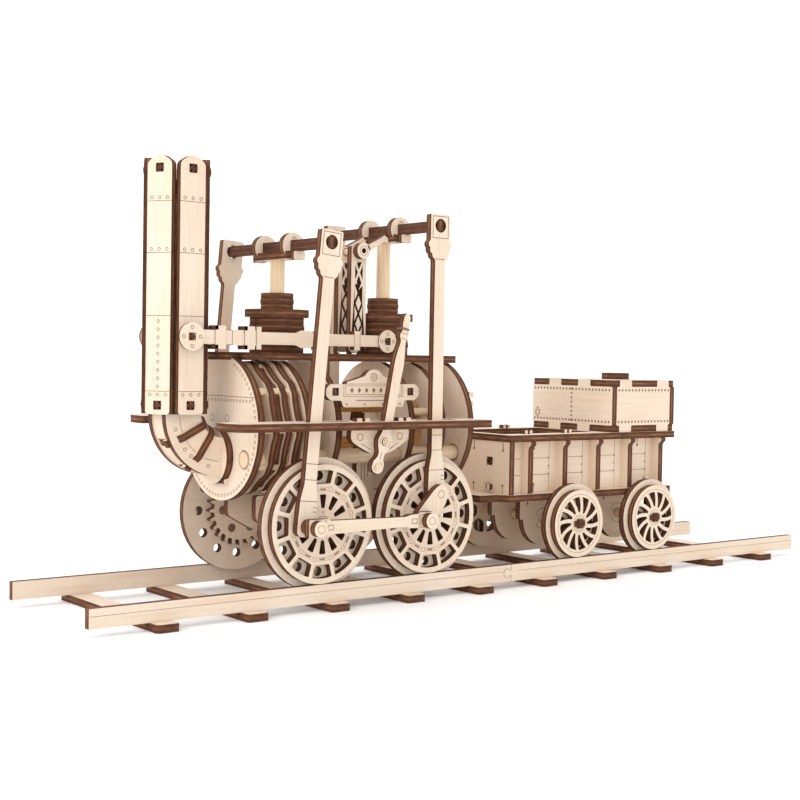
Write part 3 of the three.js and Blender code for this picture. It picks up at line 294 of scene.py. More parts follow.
class Assembly:
    """Sheets, pins and marks gathered in millimetres before they become one mesh."""

    def __init__(self):
        self.points, self.faces, self.kinds, self.coordinates = [], [], [], []

    def face(self, corners, kind, coordinates, flip=False):
        if flip:
            corners, coordinates = corners[::-1], coordinates[::-1]
        self.faces.append(tuple(corners))
        self.kinds.append(kind)
        self.coordinates.append(coordinates)

    def sheet(self, lie, low, thick, outer, *holes, face=FACE, edge=EDGE, upright=False, open_sides=(),
              shift=(0, 0, 0)):
        """A flat shape with holes, cut from stock of a given thickness."""
        loops = [outer if area(outer) > 0 else outer[::-1]]
        loops += [hole[::-1] if area(hole) > 0 else hole for hole in holes]
        flip = lie.determinant() < 0
        base = len(self.points)
        flat = [point for loop in loops for point in loop]
        count = len(flat)
        for level in (low, low + thick):
            self.points += [lie @ Vector((a, b, level)) + Vector(shift) for a, b in flat]
        if len(loops) == 1 and is_convex(outer):
            caps = [tuple(range(count))]
        else:
            triangles = tessellate_polygon([[Vector((a, b, 0)) for a, b in loop] for loop in loops])
            caps = [cap if area([flat[i] for i in cap]) >= 0 else cap[::-1] for cap in triangles]
        drawn = [(b, a) if upright else (a, b) for a, b in flat]
        for cap in caps:
            for rise, corners in ((count, cap), (0, cap[::-1])):
                self.face([base + rise + i for i in corners], face, [drawn[i] for i in corners], flip)
        start = 0
        for loop in loops:
            run = 0.0
            for i in range(len(loop)):
                j = (i + 1) % len(loop)
                length = math.dist(loop[i], loop[j])
                if not (start == 0 and i in open_sides):
                    p, q = base + start + i, base + start + j
                    self.face([p, q, q + count, p + count], edge,
                              [(run, 0), (run + length, 0), (run + length, thick), (run, thick)], flip)
                run += length
            start += len(loop)

    def between(self, lie, first, last, *loops, **finish):
        """The same from one level to another, whichever of the two is the lower."""
        low, high = sorted((first, last))
        self.sheet(lie, low, high - low, *loops, **finish)

    def pin(self, lie, a, b, radius, first, last, count=20, face=DOWEL, edge=DOWEL):
        self.between(lie, first, last, circle(a, b, radius, count), face=face, edge=edge)

    def peg(self, lie, first, last, *loops):
        """A small square pin or wedge that shows only its burnt faces."""
        self.between(lie, first, last, *loops, face=EDGE, edge=EDGE)

    def char(self, lie, surface, outward, *loops):
        """A thin engraved patch on a face."""
        self.between(lie, surface - outward * 0.1, surface + outward * 0.03, *loops, face=MARK, edge=MARK)

    def mark(self, lie, surface, outward, points, width=0.3, closed=False):
        """An engraved line on a face, along a run of points."""
        sides = ([], [])
        count = len(points)
        for i, point in enumerate(points):
            here = Vector(point)
            before = Vector(points[i - 1]) if closed or i else here
            after = Vector(points[(i + 1) % count]) if closed or i < count - 1 else here
            entering = (here - before).normalized() if before != here else (after - here).normalized()
            leaving = (after - here).normalized() if after != here else entering
            across = (entering + leaving).normalized() if (entering + leaving).length > 0.1 else leaving
            across = Vector((-across.y, across.x))
            half = width / 2 / max(0.5, abs(across.dot(Vector((-entering.y, entering.x)))))
            sides[0].append(tuple(here + across * half))
            sides[1].append(tuple(here - across * half))
        if closed:
            self.char(lie, surface, outward, *sorted(sides, key=lambda loop: -abs(area(loop))))
        else:
            self.char(lie, surface, outward, sides[0] + sides[1][::-1])

    def ring_mark(self, lie, surface, outward, a, b, radius, count, width):
        self.mark(lie, surface, outward, circle(a, b, radius, count), width, closed=True)

    def absorb(self, mesh):
        """Takes in a plain mesh that a node tree has made."""
        base = len(self.points)
        self.points += [vertex.co / MM for vertex in mesh.vertices]
        names = [finish.name for finish in FINISHES]
        kinds = [names.index(material.name) for material in mesh.materials]
        layer = mesh.uv_layers["sheet"]
        for polygon in mesh.polygons:
            self.face([base + i for i in polygon.vertices], kinds[polygon.material_index],
                      [tuple(layer.data[i].uv) for i in polygon.loop_indices])
        bpy.data.meshes.remove(mesh)

    def make(self, name):
        """One plain mesh object, in metres, with its finishes and its sheet coordinates."""
        mesh = bpy.data.meshes.new(name)
        mesh.from_pydata([point * MM for point in self.points], [], self.faces)
        for finish in FINISHES:
            mesh.materials.append(finish)
        layer = mesh.uv_layers.new(name="sheet")
        cut = mesh.attributes.new("cut_edge", "BOOLEAN", "FACE")
        for polygon, kind, drawn in zip(mesh.polygons, self.kinds, self.coordinates):
            polygon.material_index = kind
            polygon.use_smooth = True
            cut.data[polygon.index].value = kind == EDGE
            for loop, uv in zip(polygon.loop_indices, drawn):
                layer.data[loop].uv = uv
        mesh.set_sharp_from_angle(angle=math.radians(28))
        return placed(name, mesh)


def placed(name, mesh):
    piece = bpy.data.objects.new(name, mesh)
    bpy.context.collection.objects.link(piece)
    return piece


def put_away(piece):
    mesh = piece.data
    bpy.data.objects.remove(piece)
    bpy.data.meshes.remove(mesh)


def fit(piece, body, slot, *nodes):
    """Fixes a finished piece to its body, in place of the plain nodes that it stands for."""
    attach(piece, body)
    if nodes:
        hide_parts(*nodes)


def new_tree(name, **inputs):
    """An empty tree; each one repeats a part and ends with the finish of the cut edges."""
    tree = bpy.data.node_groups.new(name, "GeometryNodeTree")
    for label, kind in {"Geometry": "Geometry", "Part": "Object", "Edge Finish": "Material", **inputs}.items():
        tree.interface.new_socket(label, in_out="INPUT", socket_type="NodeSocket" + kind)
    tree.interface.new_socket("Geometry", in_out="OUTPUT", socket_type="NodeSocketGeometry")
    return tree, tree.nodes.new("NodeGroupInput").outputs, tree.nodes.new("NodeGroupOutput").inputs


def copies_on(tree, ports, points):
    """The part, set on every one of the points."""
    part = tree.nodes.new("GeometryNodeObjectInfo")
    copies = tree.nodes.new("GeometryNodeInstanceOnPoints")
    tree.links.new(ports["Part"], part.inputs["Object"])
    tree.links.new(points, copies.inputs["Points"])
    tree.links.new(part.outputs["Geometry"], copies.inputs["Instance"])
    return copies.outputs["Instances"]


def close_tree(tree, ports, ends, instances, merge=False):
    """Every tree ends alike: real copies, then the finish on all faces that the laser cut."""
    nodes, links = tree.nodes, tree.links
    real = nodes.new("GeometryNodeRealizeInstances")
    links.new(instances, real.inputs["Geometry"])
    last = real.outputs["Geometry"]
    if merge:
        merged = nodes.new("GeometryNodeMergeByDistance")
        merged.inputs["Distance"].default_value = 0.003 * MM
        links.new(last, merged.inputs["Geometry"])
        last = merged.outputs["Geometry"]
    cut = nodes.new("GeometryNodeInputNamedAttribute")
    cut.data_type = "BOOLEAN"
    cut.inputs["Name"].default_value = "cut_edge"
    finish = nodes.new("GeometryNodeSetMaterial")
    links.new(last, finish.inputs["Geometry"])
    links.new(cut.outputs["Attribute"], finish.inputs["Selection"])
    links.new(ports["Edge Finish"], finish.inputs["Material"])
    links.new(finish.outputs["Geometry"], ends["Geometry"])
    return tree


def row_tree():
    """Copies of one part at even steps along a straight line."""
    tree, ports, ends = new_tree("copies_in_a_row", Count="Int", Step="Vector")
    line = tree.nodes.new("GeometryNodeMeshLine")
    tree.links.new(ports["Count"], line.inputs["Count"])
    tree.links.new(ports["Step"], line.inputs["Offset"])
    return close_tree(tree, ports, ends, copies_on(tree, ports, line.outputs["Mesh"]))


def grown(tree, base, **inputs):
    """Runs a node tree on an object and returns the result as a plain mesh."""
    inputs["Edge Finish"] = FINISHES[EDGE]
    modifier = base.modifiers.new("growth", "NODES")
    modifier.node_group = tree
    for item in tree.interface.items_tree:
        if item.in_out == "INPUT" and item.name in inputs:
            modifier[item.identifier] = inputs[item.name]
    bpy.context.view_layer.update()
    result = bpy.data.meshes.new_from_object(base.evaluated_get(bpy.context.evaluated_depsgraph_get()))
    base.modifiers.remove(modifier)
    return result


def repeated(tree, part, **inputs):
    """The mesh of a tree that repeats one assembly's part; the part itself is put away again."""
    source = part.make("source")
    holder = placed("holder", bpy.data.meshes.new("holder"))
    result = grown(tree, holder, Part=source, **inputs)
    put_away(source)
    put_away(holder)
    return result


ROWS = row_tree()
RAIL_FACE = 34.6
RAIL_FOOT = 3.0
SLEEPER_PITCH = 36.65
SLEEPER_HALF = 4.5
KNOB = 2.0
NECK = 1.1
GAP = 0.05
for node, way in (("front_track_half", -1), ("rear_track_half", 1)):
    low, high = span(node)
    track = Assembly()
    sleeper = Assembly()
    x = way * SLEEPER_PITCH / 2
    sleeper.sheet(FLAT, 0, RAIL_FOOT, rounded(oblong(x - SLEEPER_HALF, x + SLEEPER_HALF, low.y, high.y), 1.5),
                  upright=True)
    for side in (-1, 1):
        for edge in (side * RAIL_FACE, side * (RAIL_FACE - PLY)):
            sleeper.mark(FLAT, RAIL_FOOT, 1, [(x - 4.3, edge), (x + 4.3, edge)], 0.2)
    track.absorb(repeated(ROWS, sleeper, Count=5, Step=(way * SLEEPER_PITCH * MM, 0, 0)))
    rail_top = high.z
    middle = (rail_top + RAIL_FOOT) / 2
    far_end = low.x if way < 0 else high.x
    joint = [(GAP, rail_top), (GAP, middle + NECK),
             *circle(-2.2, middle, KNOB - GAP, 14, math.radians(38), math.radians(284)),
             (GAP, middle - NECK), (GAP, RAIL_FOOT)]
    notch = [(-GAP, rail_top), (-GAP, middle + 1.2),
             *circle(-2.2, middle, KNOB + GAP, 14, math.radians(-38), -math.radians(284))[::-1],
             (-GAP, middle - 1.2), (-GAP, RAIL_FOOT)]
    for side in (-1, 1):
        face = side * RAIL_FACE
        track.between(ALONG, face, face - side * PLY,
                      [(far_end, RAIL_FOOT), (far_end, rail_top), *(joint if way > 0 else notch)])
        if way > 0:
            track.mark(ALONG, face, side, joint, 0.16)
        track.mark(ALONG, face, side, [(far_end - way * 0.3, rail_top - 2.7), (way * 3.5, rail_top - 2.7)], 0.14)
    fit(track.make(node + "_ply"), "track", "birch_ply", node)

# ---------------------------------------------------------------- locomotive wheels
# Each wheel is two birch discs glued face to face: an openwork tread disc with twelve outer and
# twelve inner windows round an engraved ring, and a larger flange disc pierced behind each window.
SPOKES = 12
SLICE = math.tau / SPOKES
TREAD_RADIUS, FLANGE_RADIUS = 22.8, 25.4
CRANK = 9.5
RUN = 0.3
PIN_RADIUS = 1.45


def ring_tree():
    """Copies of one part at even turns about an axis, welded where they meet."""
    tree, ports, ends = new_tree("copies_round_an_axis", Count="Int", Turn="Float", Centre="Vector", Axis="Vector")
    nodes, links = tree.nodes, tree.links
    line = nodes.new("GeometryNodeMeshLine")
    line.inputs["Offset"].default_value = (0, 0, 0)
    links.new(ports["Count"], line.inputs["Count"])
    index = nodes.new("GeometryNodeInputIndex")
    angle = nodes.new("ShaderNodeMath")
    angle.operation = "MULTIPLY"
    links.new(index.outputs["Index"], angle.inputs[0])
    links.new(ports["Turn"], angle.inputs[1])
    swing = nodes.new("FunctionNodeAxisAngleToRotation")
    links.new(ports["Axis"], swing.inputs["Axis"])
    links.new(angle.outputs["Value"], swing.inputs["Angle"])
    spun = nodes.new("GeometryNodeRotateInstances")
    spun.inputs["Local Space"].default_value = False
    links.new(copies_on(tree, ports, line.outputs["Mesh"]), spun.inputs["Instances"])
    links.new(swing.outputs["Rotation"], spun.inputs["Rotation"])
    links.new(ports["Centre"], spun.inputs["Pivot Point"])
    return close_tree(tree, ports, ends, spun.outputs["Instances"], merge=True)


RINGS = ring_tree()
Y_AXIS, Z_AXIS = (0.0, 1.0, 0.0), (0.0, 0.0, 1.0)


def ringed(part, x, z, count=SPOKES):
    return repeated(RINGS, part, Count=count, Turn=math.tau / count, Centre=(x * MM, 0, z * MM), Axis=Y_AXIS)


def moved(loop, x, z):
    return [(x + a, z + b) for a, b in loop]


def turned(points, angle):
    c, s = math.cos(angle), math.sin(angle)
    return [(a * c - b * s, a * s + b * c) for a, b in points]


def faces_of(low, high, side):
    """Where a node's inner and outer faces lie, on one side of the middle line."""
    return (high.y, low.y) if side < 0 else (low.y, high.y)


def outer_window(inner, outer, spoke):
    def half(a):
        return a * math.tan(SLICE / 2) - spoke / 2 / math.cos(SLICE / 2)
    corner = outer * 0.974
    rim = [polar(outer, t) for t in (-0.11, 0, 0.11)]
    return rounded([(inner, -half(inner)), (corner, -half(corner)), *rim, (corner, half(corner)),
                    (inner, half(inner))], 0.5, 2)


def wheel_discs(wheel, x, z, side, inner):
    """The two discs of one locomotive wheel, from the inner face of the flange outwards."""
    seam = inner + side * PLY
    face = seam + side * PLY
    slit = rounded([(6.1, -0.75), (11.4, -1.5), (11.4, 1.5), (6.1, 0.75)], 0.5, 2)

    def twelfth(radius, first, last, *holes):
        # The two straight sides of the slice stay open for the weld.
        disc = Assembly()
        pie = [(0, 0)] + circle(0, 0, radius, 4, -SLICE / 2, SLICE)
        disc.between(ALONG, first, last, *[moved(loop, x, z) for loop in (pie, *holes)], open_sides=(0, 5))
        return disc

    tread = twelfth(TREAD_RADIUS, seam, face, outer_window(15.4, 20.7, 1.6), slit)
    for a, half, width in ((13.3, 1.3, 0.5), (12.75, 2.5, 0.12), (13.85, 2.5, 0.12)):
        tread.mark(ALONG, face, side, moved([(a, -half), (a, half)], x, z), width)
    tread.ring_mark(ALONG, face, side, *polar(13.6, SLICE / 2, x, z), 0.85, 10, 0.13)
    wheel.absorb(ringed(tread, x, z))
    flange = twelfth(FLANGE_RADIUS, min(inner, seam), max(inner, seam) - 0.02, circle(18.3, 0, 1.9, 12), slit)
    wheel.absorb(ringed(flange, x, z))
    wheel.ring_mark(ALONG, face, side, x, z, 3.1, 24, 0.25)
    for a, b in circle(x, z, 4.6, 4):
        wheel.ring_mark(ALONG, face, side, a, b, 0.5, 8, 0.15)
    return face


def crank_disc(piece, x, z, side, outer):
    """The light end disc of a crank pin, with a small engraved circle."""
    piece.pin(ALONG, x, z, 3.05, outer - side * PLY, outer, 24, FACE, EDGE)
    piece.ring_mark(ALONG, outer, side, x, z, 1.5, 18, 0.16)


for name, side in (("near", -1), ("far", 1)):
    for end, pin_x, pin_z in (("front", -CRANK, 0), ("rear", 0, CRANK)):
        node = f"{name}_{end}_wheel"
        low, high = span(node)
        x, z = (low.x + high.x) / 2, (low.z + high.z) / 2
        inner, outer = faces_of(low, high, side)
        wheel = Assembly()
        face = wheel_discs(wheel, x, z, side, inner)
        wheel.pin(ALONG, x + pin_x, z + pin_z, PIN_RADIUS, face - side, outer - side * 0.5)
        if end == "front":
            spacer = face + side * (PLY + 2 * RUN)
            wheel.pin(ALONG, x + pin_x, z + pin_z, 2.9, spacer, spacer + side * PLY, 24, FACE, EDGE)
            crank_disc(wheel, x + pin_x, z + pin_z, side, outer)
        fit(wheel.make(node + "_discs"), f"{end}_wheelset", "birch_ply", node)

    low, high = span(f"{name}_return_crank")
    inner, outer = faces_of(low, high, side)
    face = inner + side * PLY
    head = (high.x - 3.6, high.z - 3.6)
    foot = (head[0] - CRANK, head[1] - CRANK)
    plate = [*moved([(-3.4, 1.8)], *foot), *moved([(-2.9, 2.6), (0.6, 4.4), (4.2, 1.4), (1.9, -5.2)], *head),
             *moved([(3.6, -2.4), (-1.2, -4)], *foot)]
    crank = Assembly()
    crank.between(ALONG, inner, face, rounded(plate, 2.6, 5), upright=True)
    crank.ring_mark(ALONG, face, side, *head, 1.5, 16, 0.22)
    crank.pin(ALONG, *foot, PIN_RADIUS, face, outer - side)
    crank_disc(crank, *foot, side, outer)
    fit(crank.make(f"{name}_return_crank_plate"), "rear_wheelset", "birch_ply", f"{name}_return_crank")

# ---------------------------------------------------------------- axles, drive gear and pinion
# The axles are birch dowels pressed between the wheels.  A laser-cut gear on the far side of the
# front axle takes the drive from a small pinion on its own dowel.
MODULE = 7 / 6
GEAR_TEETH, PINION_TEETH = 24, 12
MESH_REACH = 21.3
MESH_ANGLE = math.pi / 12


def turned_pin(node, body, lie=ALONG):
    low, high = span(node)
    centre = (low + high) / 2
    radius = (high.x - low.x if lie is FLAT else high.z - low.z) / 2
    pin = Assembly()
    if lie is ALONG:
        pin.pin(lie, centre.x, centre.z, radius, low.y, high.y)
    elif lie is ACROSS:
        pin.pin(lie, centre.y, centre.z, radius, low.x, high.x)
    else:
        pin.pin(lie, centre.x, centre.y, radius, low.z, high.z, count=28)
    fit(pin.make(node + "_dowel"), body, "dowel", node)


def gear_disc(piece, x, z, low, teeth, bore, phase):
    """A gear made of one tooth and its slice of the disc, repeated round the axle."""
    radius = MODULE * teeth / 2
    root, tip = radius - 1.34, radius + 0.93
    step = math.tau / teeth
    outline = [(bore, 0)]
    outline += [polar(r, share * step) for r, share in ((root, 0.0), (root, 0.23), (tip, 0.4), (tip, 0.6),
                                                        (root, 0.77), (root, 1.0), (bore, 1.0))]
    tooth = Assembly()
    tooth.sheet(ALONG, low, PLY - 0.05, moved(turned(outline, phase - step / 2), x, z), open_sides=(0, 6))
    piece.absorb(ringed(tooth, x, z, teeth))
    return radius


for node in ("front_axle", "rear_axle"):
    turned_pin(node, node.replace("axle", "wheelset"))

low, high = span("drive_gear")
gear_x, gear_z = (low.x + high.x) / 2, (low.z + high.z) / 2
gear = Assembly()
radius = gear_disc(gear, gear_x, gear_z, low.y, GEAR_TEETH, 2.1, MESH_ANGLE)
for a, b in circle(gear_x, gear_z, radius * 0.62, 6):
    gear.pin(ALONG, a, b, radius * 0.13, low.y - 0.04, low.y + PLY, 14, MARK, MARK)
fit(gear.make("drive_gear_disc"), "front_wheelset", "birch_ply", "drive_gear")

low, high = span("motor_pinion")
pinion_x, pinion_z = polar(MESH_REACH, MESH_ANGLE, gear_x, gear_z)
pinion = Assembly()
gear_disc(pinion, pinion_x, pinion_z, high.y - PLY, PINION_TEETH, 1.9, -(MESH_ANGLE + math.pi + math.pi / 12))
pinion.pin(ALONG, pinion_x, pinion_z, 2, low.y, high.y - 0.5)
fit(pinion.make("motor_pinion_shaft"), "motor_pinion", "birch_ply", "motor_pinion")

# ---------------------------------------------------------------- tender wheelsets
# Smaller wheels with twelve curved spokes, backed by an open flange disc.  A cross-lapped
# square end of the wooden axle shows at each hub.
TENDER_TREAD, TENDER_FLANGE = 14.8, 17.4


def swirl(radius):
    """How far the curved spokes have turned at a radius."""
    return 0.32 * max(0.0, (radius - 4.5) / 10.3) ** 1.3


def curved_slice(radius, steps=6):
    radii = [radius * (i / steps) for i in range(1, steps + 1)]
    lower, upper = [[polar(r, swirl(r) + way * SLICE / 2) for r in radii] for way in (-1, 1)]
    rim = circle(0, 0, radius, 4, swirl(radius) - SLICE / 2, SLICE)[1:-1]
    shape = [(0, 0)] + lower + rim + upper[::-1]
    return shape, set(range(steps)) | set(range(len(shape) - steps, len(shape)))


def curved_window(inner, outer, spoke, steps=6):
    radii = [inner + (outer - inner) * i / steps for i in range(steps + 1)]
    lower, upper = [[polar(r, swirl(r) + way * (SLICE / 2 - spoke / 2 / r)) for r in radii] for way in (-1, 1)]
    return rounded(lower + upper[::-1], 0.9, 3)


for node in ("tender_front_wheelset", "tender_rear_wheelset"):
    low, high = span(node)
    x, z = (low.x + high.x) / 2, (low.z + high.z) / 2
    wheelset = Assembly()
    for side in (-1, 1):
        face = low.y if side < 0 else high.y
        seam = face - side * PLY
        tread = Assembly()
        shape, open_sides = curved_slice(TENDER_TREAD)
        tread.between(ALONG, face, seam, moved(shape, x, z), moved(curved_window(4.9, 11.9, 1.7), x, z),
                      open_sides=open_sides)
        wheelset.absorb(ringed(tread, x, z))
        wheelset.ring_mark(ALONG, face, side, x, z, 12.9, 48, 0.14)
        wheelset.ring_mark(ALONG, face, side, x, z, 3.6, 20, 0.12)
        flange = Assembly()
        pie = [(0, 0)] + circle(0, 0, TENDER_FLANGE, 8, -SLICE, 2 * SLICE)
        opening = rounded([(5.2, -1.9), (9.8, -4.6), (11.3, 0), (9.8, 4.6), (5.2, 1.9)], 1.2, 3)
        flange_low = seam if side < 0 else seam - PLY
        flange.sheet(ALONG, flange_low, PLY - 0.02, moved(pie, x, z), moved(opening, x, z), open_sides=(0, 9))
        wheelset.absorb(ringed(flange, x, z, 6))
        for half_x, half_z, reach in ((1.5, 2.0, 1.2), (3.0, 1.25, 0.7)):
            wheelset.between(ALONG, face, face + side * reach, block(x, z, half_x, half_z), face=EDGE)
    wheelset.pin(ALONG, x, z, 2, low.y + 2 * PLY, high.y - 2 * PLY)
    fit(wheelset.make(node + "_wheels"), node, "birch_ply", node)

# ---------------------------------------------------------------- connecting and coupling rods
# Upright rods with a strap head, a stepped collar and a tapering shank, each cut from one sheet.
# Flat coupling rods with squared ends join the crank pins on each side.
ROD_LENGTH = 107.0
BEAM_HOLE, PIN_HOLE = 2.75, 1.6


def both_halves(half, centre=0.0):
    """A whole outline from the half above its middle line."""
    return [(a, centre + b) for a, b in half] + [(a, centre - b) for a, b in half[::-1]]


def connecting_rod(name, side, end, foot, head):
    node = f"{name}_{end}_rod"
    low, high = span(node)
    face = faces_of(low, high, side)[1]
    lean = -math.atan2(head[0] - foot[0], head[1] - foot[1])

    def put(points):
        return moved(turned(points, lean), *foot)

    top = ROD_LENGTH
    half = [(2.6, -4), (4.1, -2.6), (4.1, 3), (3.9, 10), (2.65, 16), (2.55, top - 13.4), (4.0, top - 12.6),
            (4.0, top - 11.2), (5.2, top - 10.6), (5.2, top - 8.6), (5.9, top - 8.2), (5.9, top - 6.6),
            (4.9, top - 6.0), (4.9, top + 4.6)]
    outline = half + [(-a, b) for a, b in half[::-1]]
    rod = Assembly()
    rod.sheet(ALONG, low.y, high.y - low.y, put(rounded(outline, 0.8, 2)), put(circle(0, top, BEAM_HOLE, 20)),
              put(circle(0, 0, PIN_HOLE, 16)), upright=True)
    rod.mark(ALONG, face, side, put(oblong(-3.9, 3.9, top - 4.9, top + 3.7)), 0.26, closed=True)
    for level, half_width in ((top - 13.3, 2.5), (23.5, 2.6), (17.5, 2.6), (9.5, 3.9)):
        rod.mark(ALONG, face, side, put([(-half_width, level), (half_width, level)]), 0.26)
    for level in (5.6, 7.2):
        rod.mark(ALONG, face, side, put([(2.2, level), (3.6, level)]), 0.3)
    fit(rod.make(node + "_ply"), node, "birch_ply", node)


front_low, front_high = span("front_axle")
rear_low, rear_high = span("rear_axle")
front_x, rear_x = (front_low.x + front_high.x) / 2, (rear_low.x + rear_high.x) / 2
axle_z = (front_low.z + front_high.z) / 2
front_beam_z = axle_z + ROD_LENGTH * math.cos(math.asin(CRANK / ROD_LENGTH))
rear_beam_z = axle_z + CRANK + ROD_LENGTH
for name, side in (("near", -1), ("far", 1)):
    connecting_rod(name, side, "front", (front_x - CRANK, axle_z), (front_x, front_beam_z))
    connecting_rod(name, side, "rear", (rear_x, axle_z + CRANK), (rear_x, rear_beam_z))
    node = f"{name}_coupling_rod"
    low, high = span(node)
    face = faces_of(low, high, side)[1]
    x0, x1 = front_x - CRANK, rear_x - CRANK
    half = [(x0 - 3.4, 3.3), (x0 + 5.6, 3.3), (x0 + 6.2, 2.6), (x0 + 9, 2.5), (x1 - 11, 1.9), (x1 - 8.2, 2.6),
            (x1 - 4.9, 2.7), (x1 - 4.4, 3.3), (x1 + 3.4, 3.3)]
    bar = Assembly()
    bar.sheet(ALONG, low.y, high.y - low.y, rounded(both_halves(half, axle_z), 0.5, 2),
              circle(x0, axle_z, PIN_HOLE, 16), circle(x1, axle_z, PIN_HOLE, 16))
    for x, half_x, half_z in ((x0 + 6.4, 1.2, 0.9), (x1 - 6.4, 1.2, 0.9), (x1 - 0.4, 3.0, 2.5)):
        bar.mark(ALONG, face, side, block(x, axle_z, half_x, half_z), 0.22, closed=True)
    for x in (x0 + 4.2, x1 - 4.2):
        bar.mark(ALONG, face, side, [(x, axle_z - 3.1), (x, axle_z + 3.1)], 0.26)
    fit(bar.make(node + "_ply"), node, "birch_ply", node)

# ---------------------------------------------------------------- crossheads, piston rods and cylinders
# A brown-edged beam lies in a saddle plate between two light discs and ends in the rods' eyes.
# A dowel joins it to a cylinder, which is a stack of laser-cut discs glued flat on the deck.
BEAM_END = -span("near_front_rod")[0].y - 0.15
BEAM_HALF = 2.1
SADDLE_DISC, SADDLE_Y = 5.2, 8.6
PISTON_HOLE = 3.2
BODY_RADIUS, BODY_PITCH, BODY_LAYERS = 10.75, 2.8, 5
FLANGE_RIM, GLAND_RADIUS, GLAND_LAYERS = 12.7, 6.45, 3


def stacked(stack, x, radius, base, pitch, layers, count):
    """Equal discs glued one on another round the piston rod."""
    disc = Assembly()
    disc.sheet(FLAT, base, pitch - 0.06, circle(x, 0, radius, count), circle(x, 0, PISTON_HOLE, 20))
    stack.absorb(repeated(ROWS, disc, Count=layers, Step=(0, 0, pitch * MM)))


for end in ("front", "rear"):
    turned_pin(f"{end}_piston_rod", f"{end}_crosshead", FLAT)
for end, x, z in (("front", front_x, front_beam_z), ("rear", rear_x, rear_beam_z)):
    node = f"{end}_crosshead_beam"
    beam = Assembly()
    beam.peg(ACROSS, x - PLY / 2, x + PLY / 2, block(0, z, BEAM_END, BEAM_HALF))
    for level in (z - BEAM_HALF / 2, z + BEAM_HALF / 2):
        for way in (-1, 1):
            beam.mark(ACROSS, x + way * PLY / 2, way, [(-34, level), (34, level)], 0.12)
    saddle_top = z - BEAM_HALF
    beam.sheet(FLAT, saddle_top - PLY, PLY, rounded(block(x, 0, 4, 12.5), 0.8, 2), upright=True)
    for side in (-1, 1):
        inner, outer = side * SADDLE_Y, side * (SADDLE_Y + PLY)
        beam.between(ALONG, inner, outer, circle(x, z, SADDLE_DISC, 36), block(x, z, 1.6, 2.2), upright=True)
        step = [(x - 0.5, z + 2.3), (x - 0.5, z + 3.4), (x + 0.9, z + 3.4), (x + 0.9, z + 2.3)]
        beam.mark(ALONG, outer, side, step, 0.24)
        key_low = (inner if side > 0 else outer) + side * 4.0
        beam.sheet(ALONG, key_low, 1.6, rounded(oblong(x - 2.6, x + 2.6, z - 5.6, z - 2.2), 0.5, 2))
    fit(beam.make(node + "_saddle"), f"{end}_crosshead", "ply_edge", node)

    node = f"{end}_cylinder"
    low, high = span(node)
    bore = circle(x, 0, PISTON_HOLE, 20)
    stack = Assembly()
    stacked(stack, x, BODY_RADIUS, low.z, BODY_PITCH, BODY_LAYERS, 40)
    for i in (1, 3):
        band_low = low.z + i * BODY_PITCH + 0.3
        stack.sheet(FLAT, band_low, BODY_PITCH - 0.8, circle(x, 0, BODY_RADIUS + 0.28, 40), bore)
    flange_low = low.z + BODY_LAYERS * BODY_PITCH
    stack.sheet(FLAT, flange_low, PLY, circle(x, 0, FLANGE_RIM, 44), bore)
    gland_low = flange_low + PLY
    gland_pitch = (high.z - gland_low) / GLAND_LAYERS
    stacked(stack, x, GLAND_RADIUS, gland_low, gland_pitch, GLAND_LAYERS, 32)
    stack.sheet(FLAT, gland_low + gland_pitch * 1.1, gland_pitch * 0.8, circle(x, 0, GLAND_RADIUS + 0.2, 32), bore)
    fit(stack.make(node + "_stack"), "locomotive", "ply_edge", node)

# ---------------------------------------------------------------- boiler
# Two large end discs and a set of rings between them, all three-ply birch, threaded on two birch
# dowels.  A flat deck closes the top and the rubber band that drives the model runs inside.
BOILER_R = 28.3
BOILER_Z = span("boiler_front_plate")[0].z + BOILER_R
RIM_INSET = 1.9
TONGUE = 8.35
THREAD_HOLE, THREAD_FIT = 3.25, 3.2


def path_tree():
    """Copies of one small part at an even spacing along a drawn path."""
    tree, ports, ends = new_tree("copies_along_a_path", Spacing="Float")
    nodes, links = tree.nodes, tree.links
    curve = nodes.new("GeometryNodeMeshToCurve")
    links.new(ports["Geometry"], curve.inputs["Mesh"])
    even = nodes.new("GeometryNodeResampleCurve")
    even.mode = "LENGTH"
    links.new(curve.outputs["Curve"], even.inputs["Curve"])
    links.new(ports["Spacing"], even.inputs["Length"])
    return close_tree(tree, ports, ends, copies_on(tree, ports, even.outputs["Curve"]))


PATHS = path_tree()


def studs(piece, lie, surface, outward, paths, spacing, radius=0.6, line=0.22, sides=10):
    """Small engraved rings along paths drawn on the face of a sheet; a full line fills them."""
    holes = [circle(0, 0, radius - line, sides)] if line < radius else []
    stud = Assembly()
    stud.char(lie, 0, outward, circle(0, 0, radius, sides), *holes)
    source = stud.make("source")
    for path in paths:
        mesh = bpy.data.meshes.new("path")
        mesh.from_pydata([(lie @ Vector((a, b, surface))) * MM for a, b in path],
                         [(i, i + 1) for i in range(len(path) - 1)], [])
        holder = placed("path", mesh)
        piece.absorb(grown(PATHS, holder, Part=source, Spacing=spacing * MM))
        put_away(holder)
    put_away(source)


def notched_disc(radius, half, level, count=96):
    """A boiler disc with its top cut down to a level between two sides."""
    kept = [p for p in circle(0, BOILER_Z, radius, count, math.pi / 2 + 1e-4)
            if not (p[1] > level and abs(p[0]) < half)]
    rim = BOILER_Z + math.sqrt(radius ** 2 - half ** 2)
    if rim > level:
        return kept + [(half, rim), (half, level), (-half, level), (-half, rim)]
    chord = math.sqrt(radius ** 2 - (level - BOILER_Z) ** 2)
    return kept + [(chord, level), (-chord, level)]


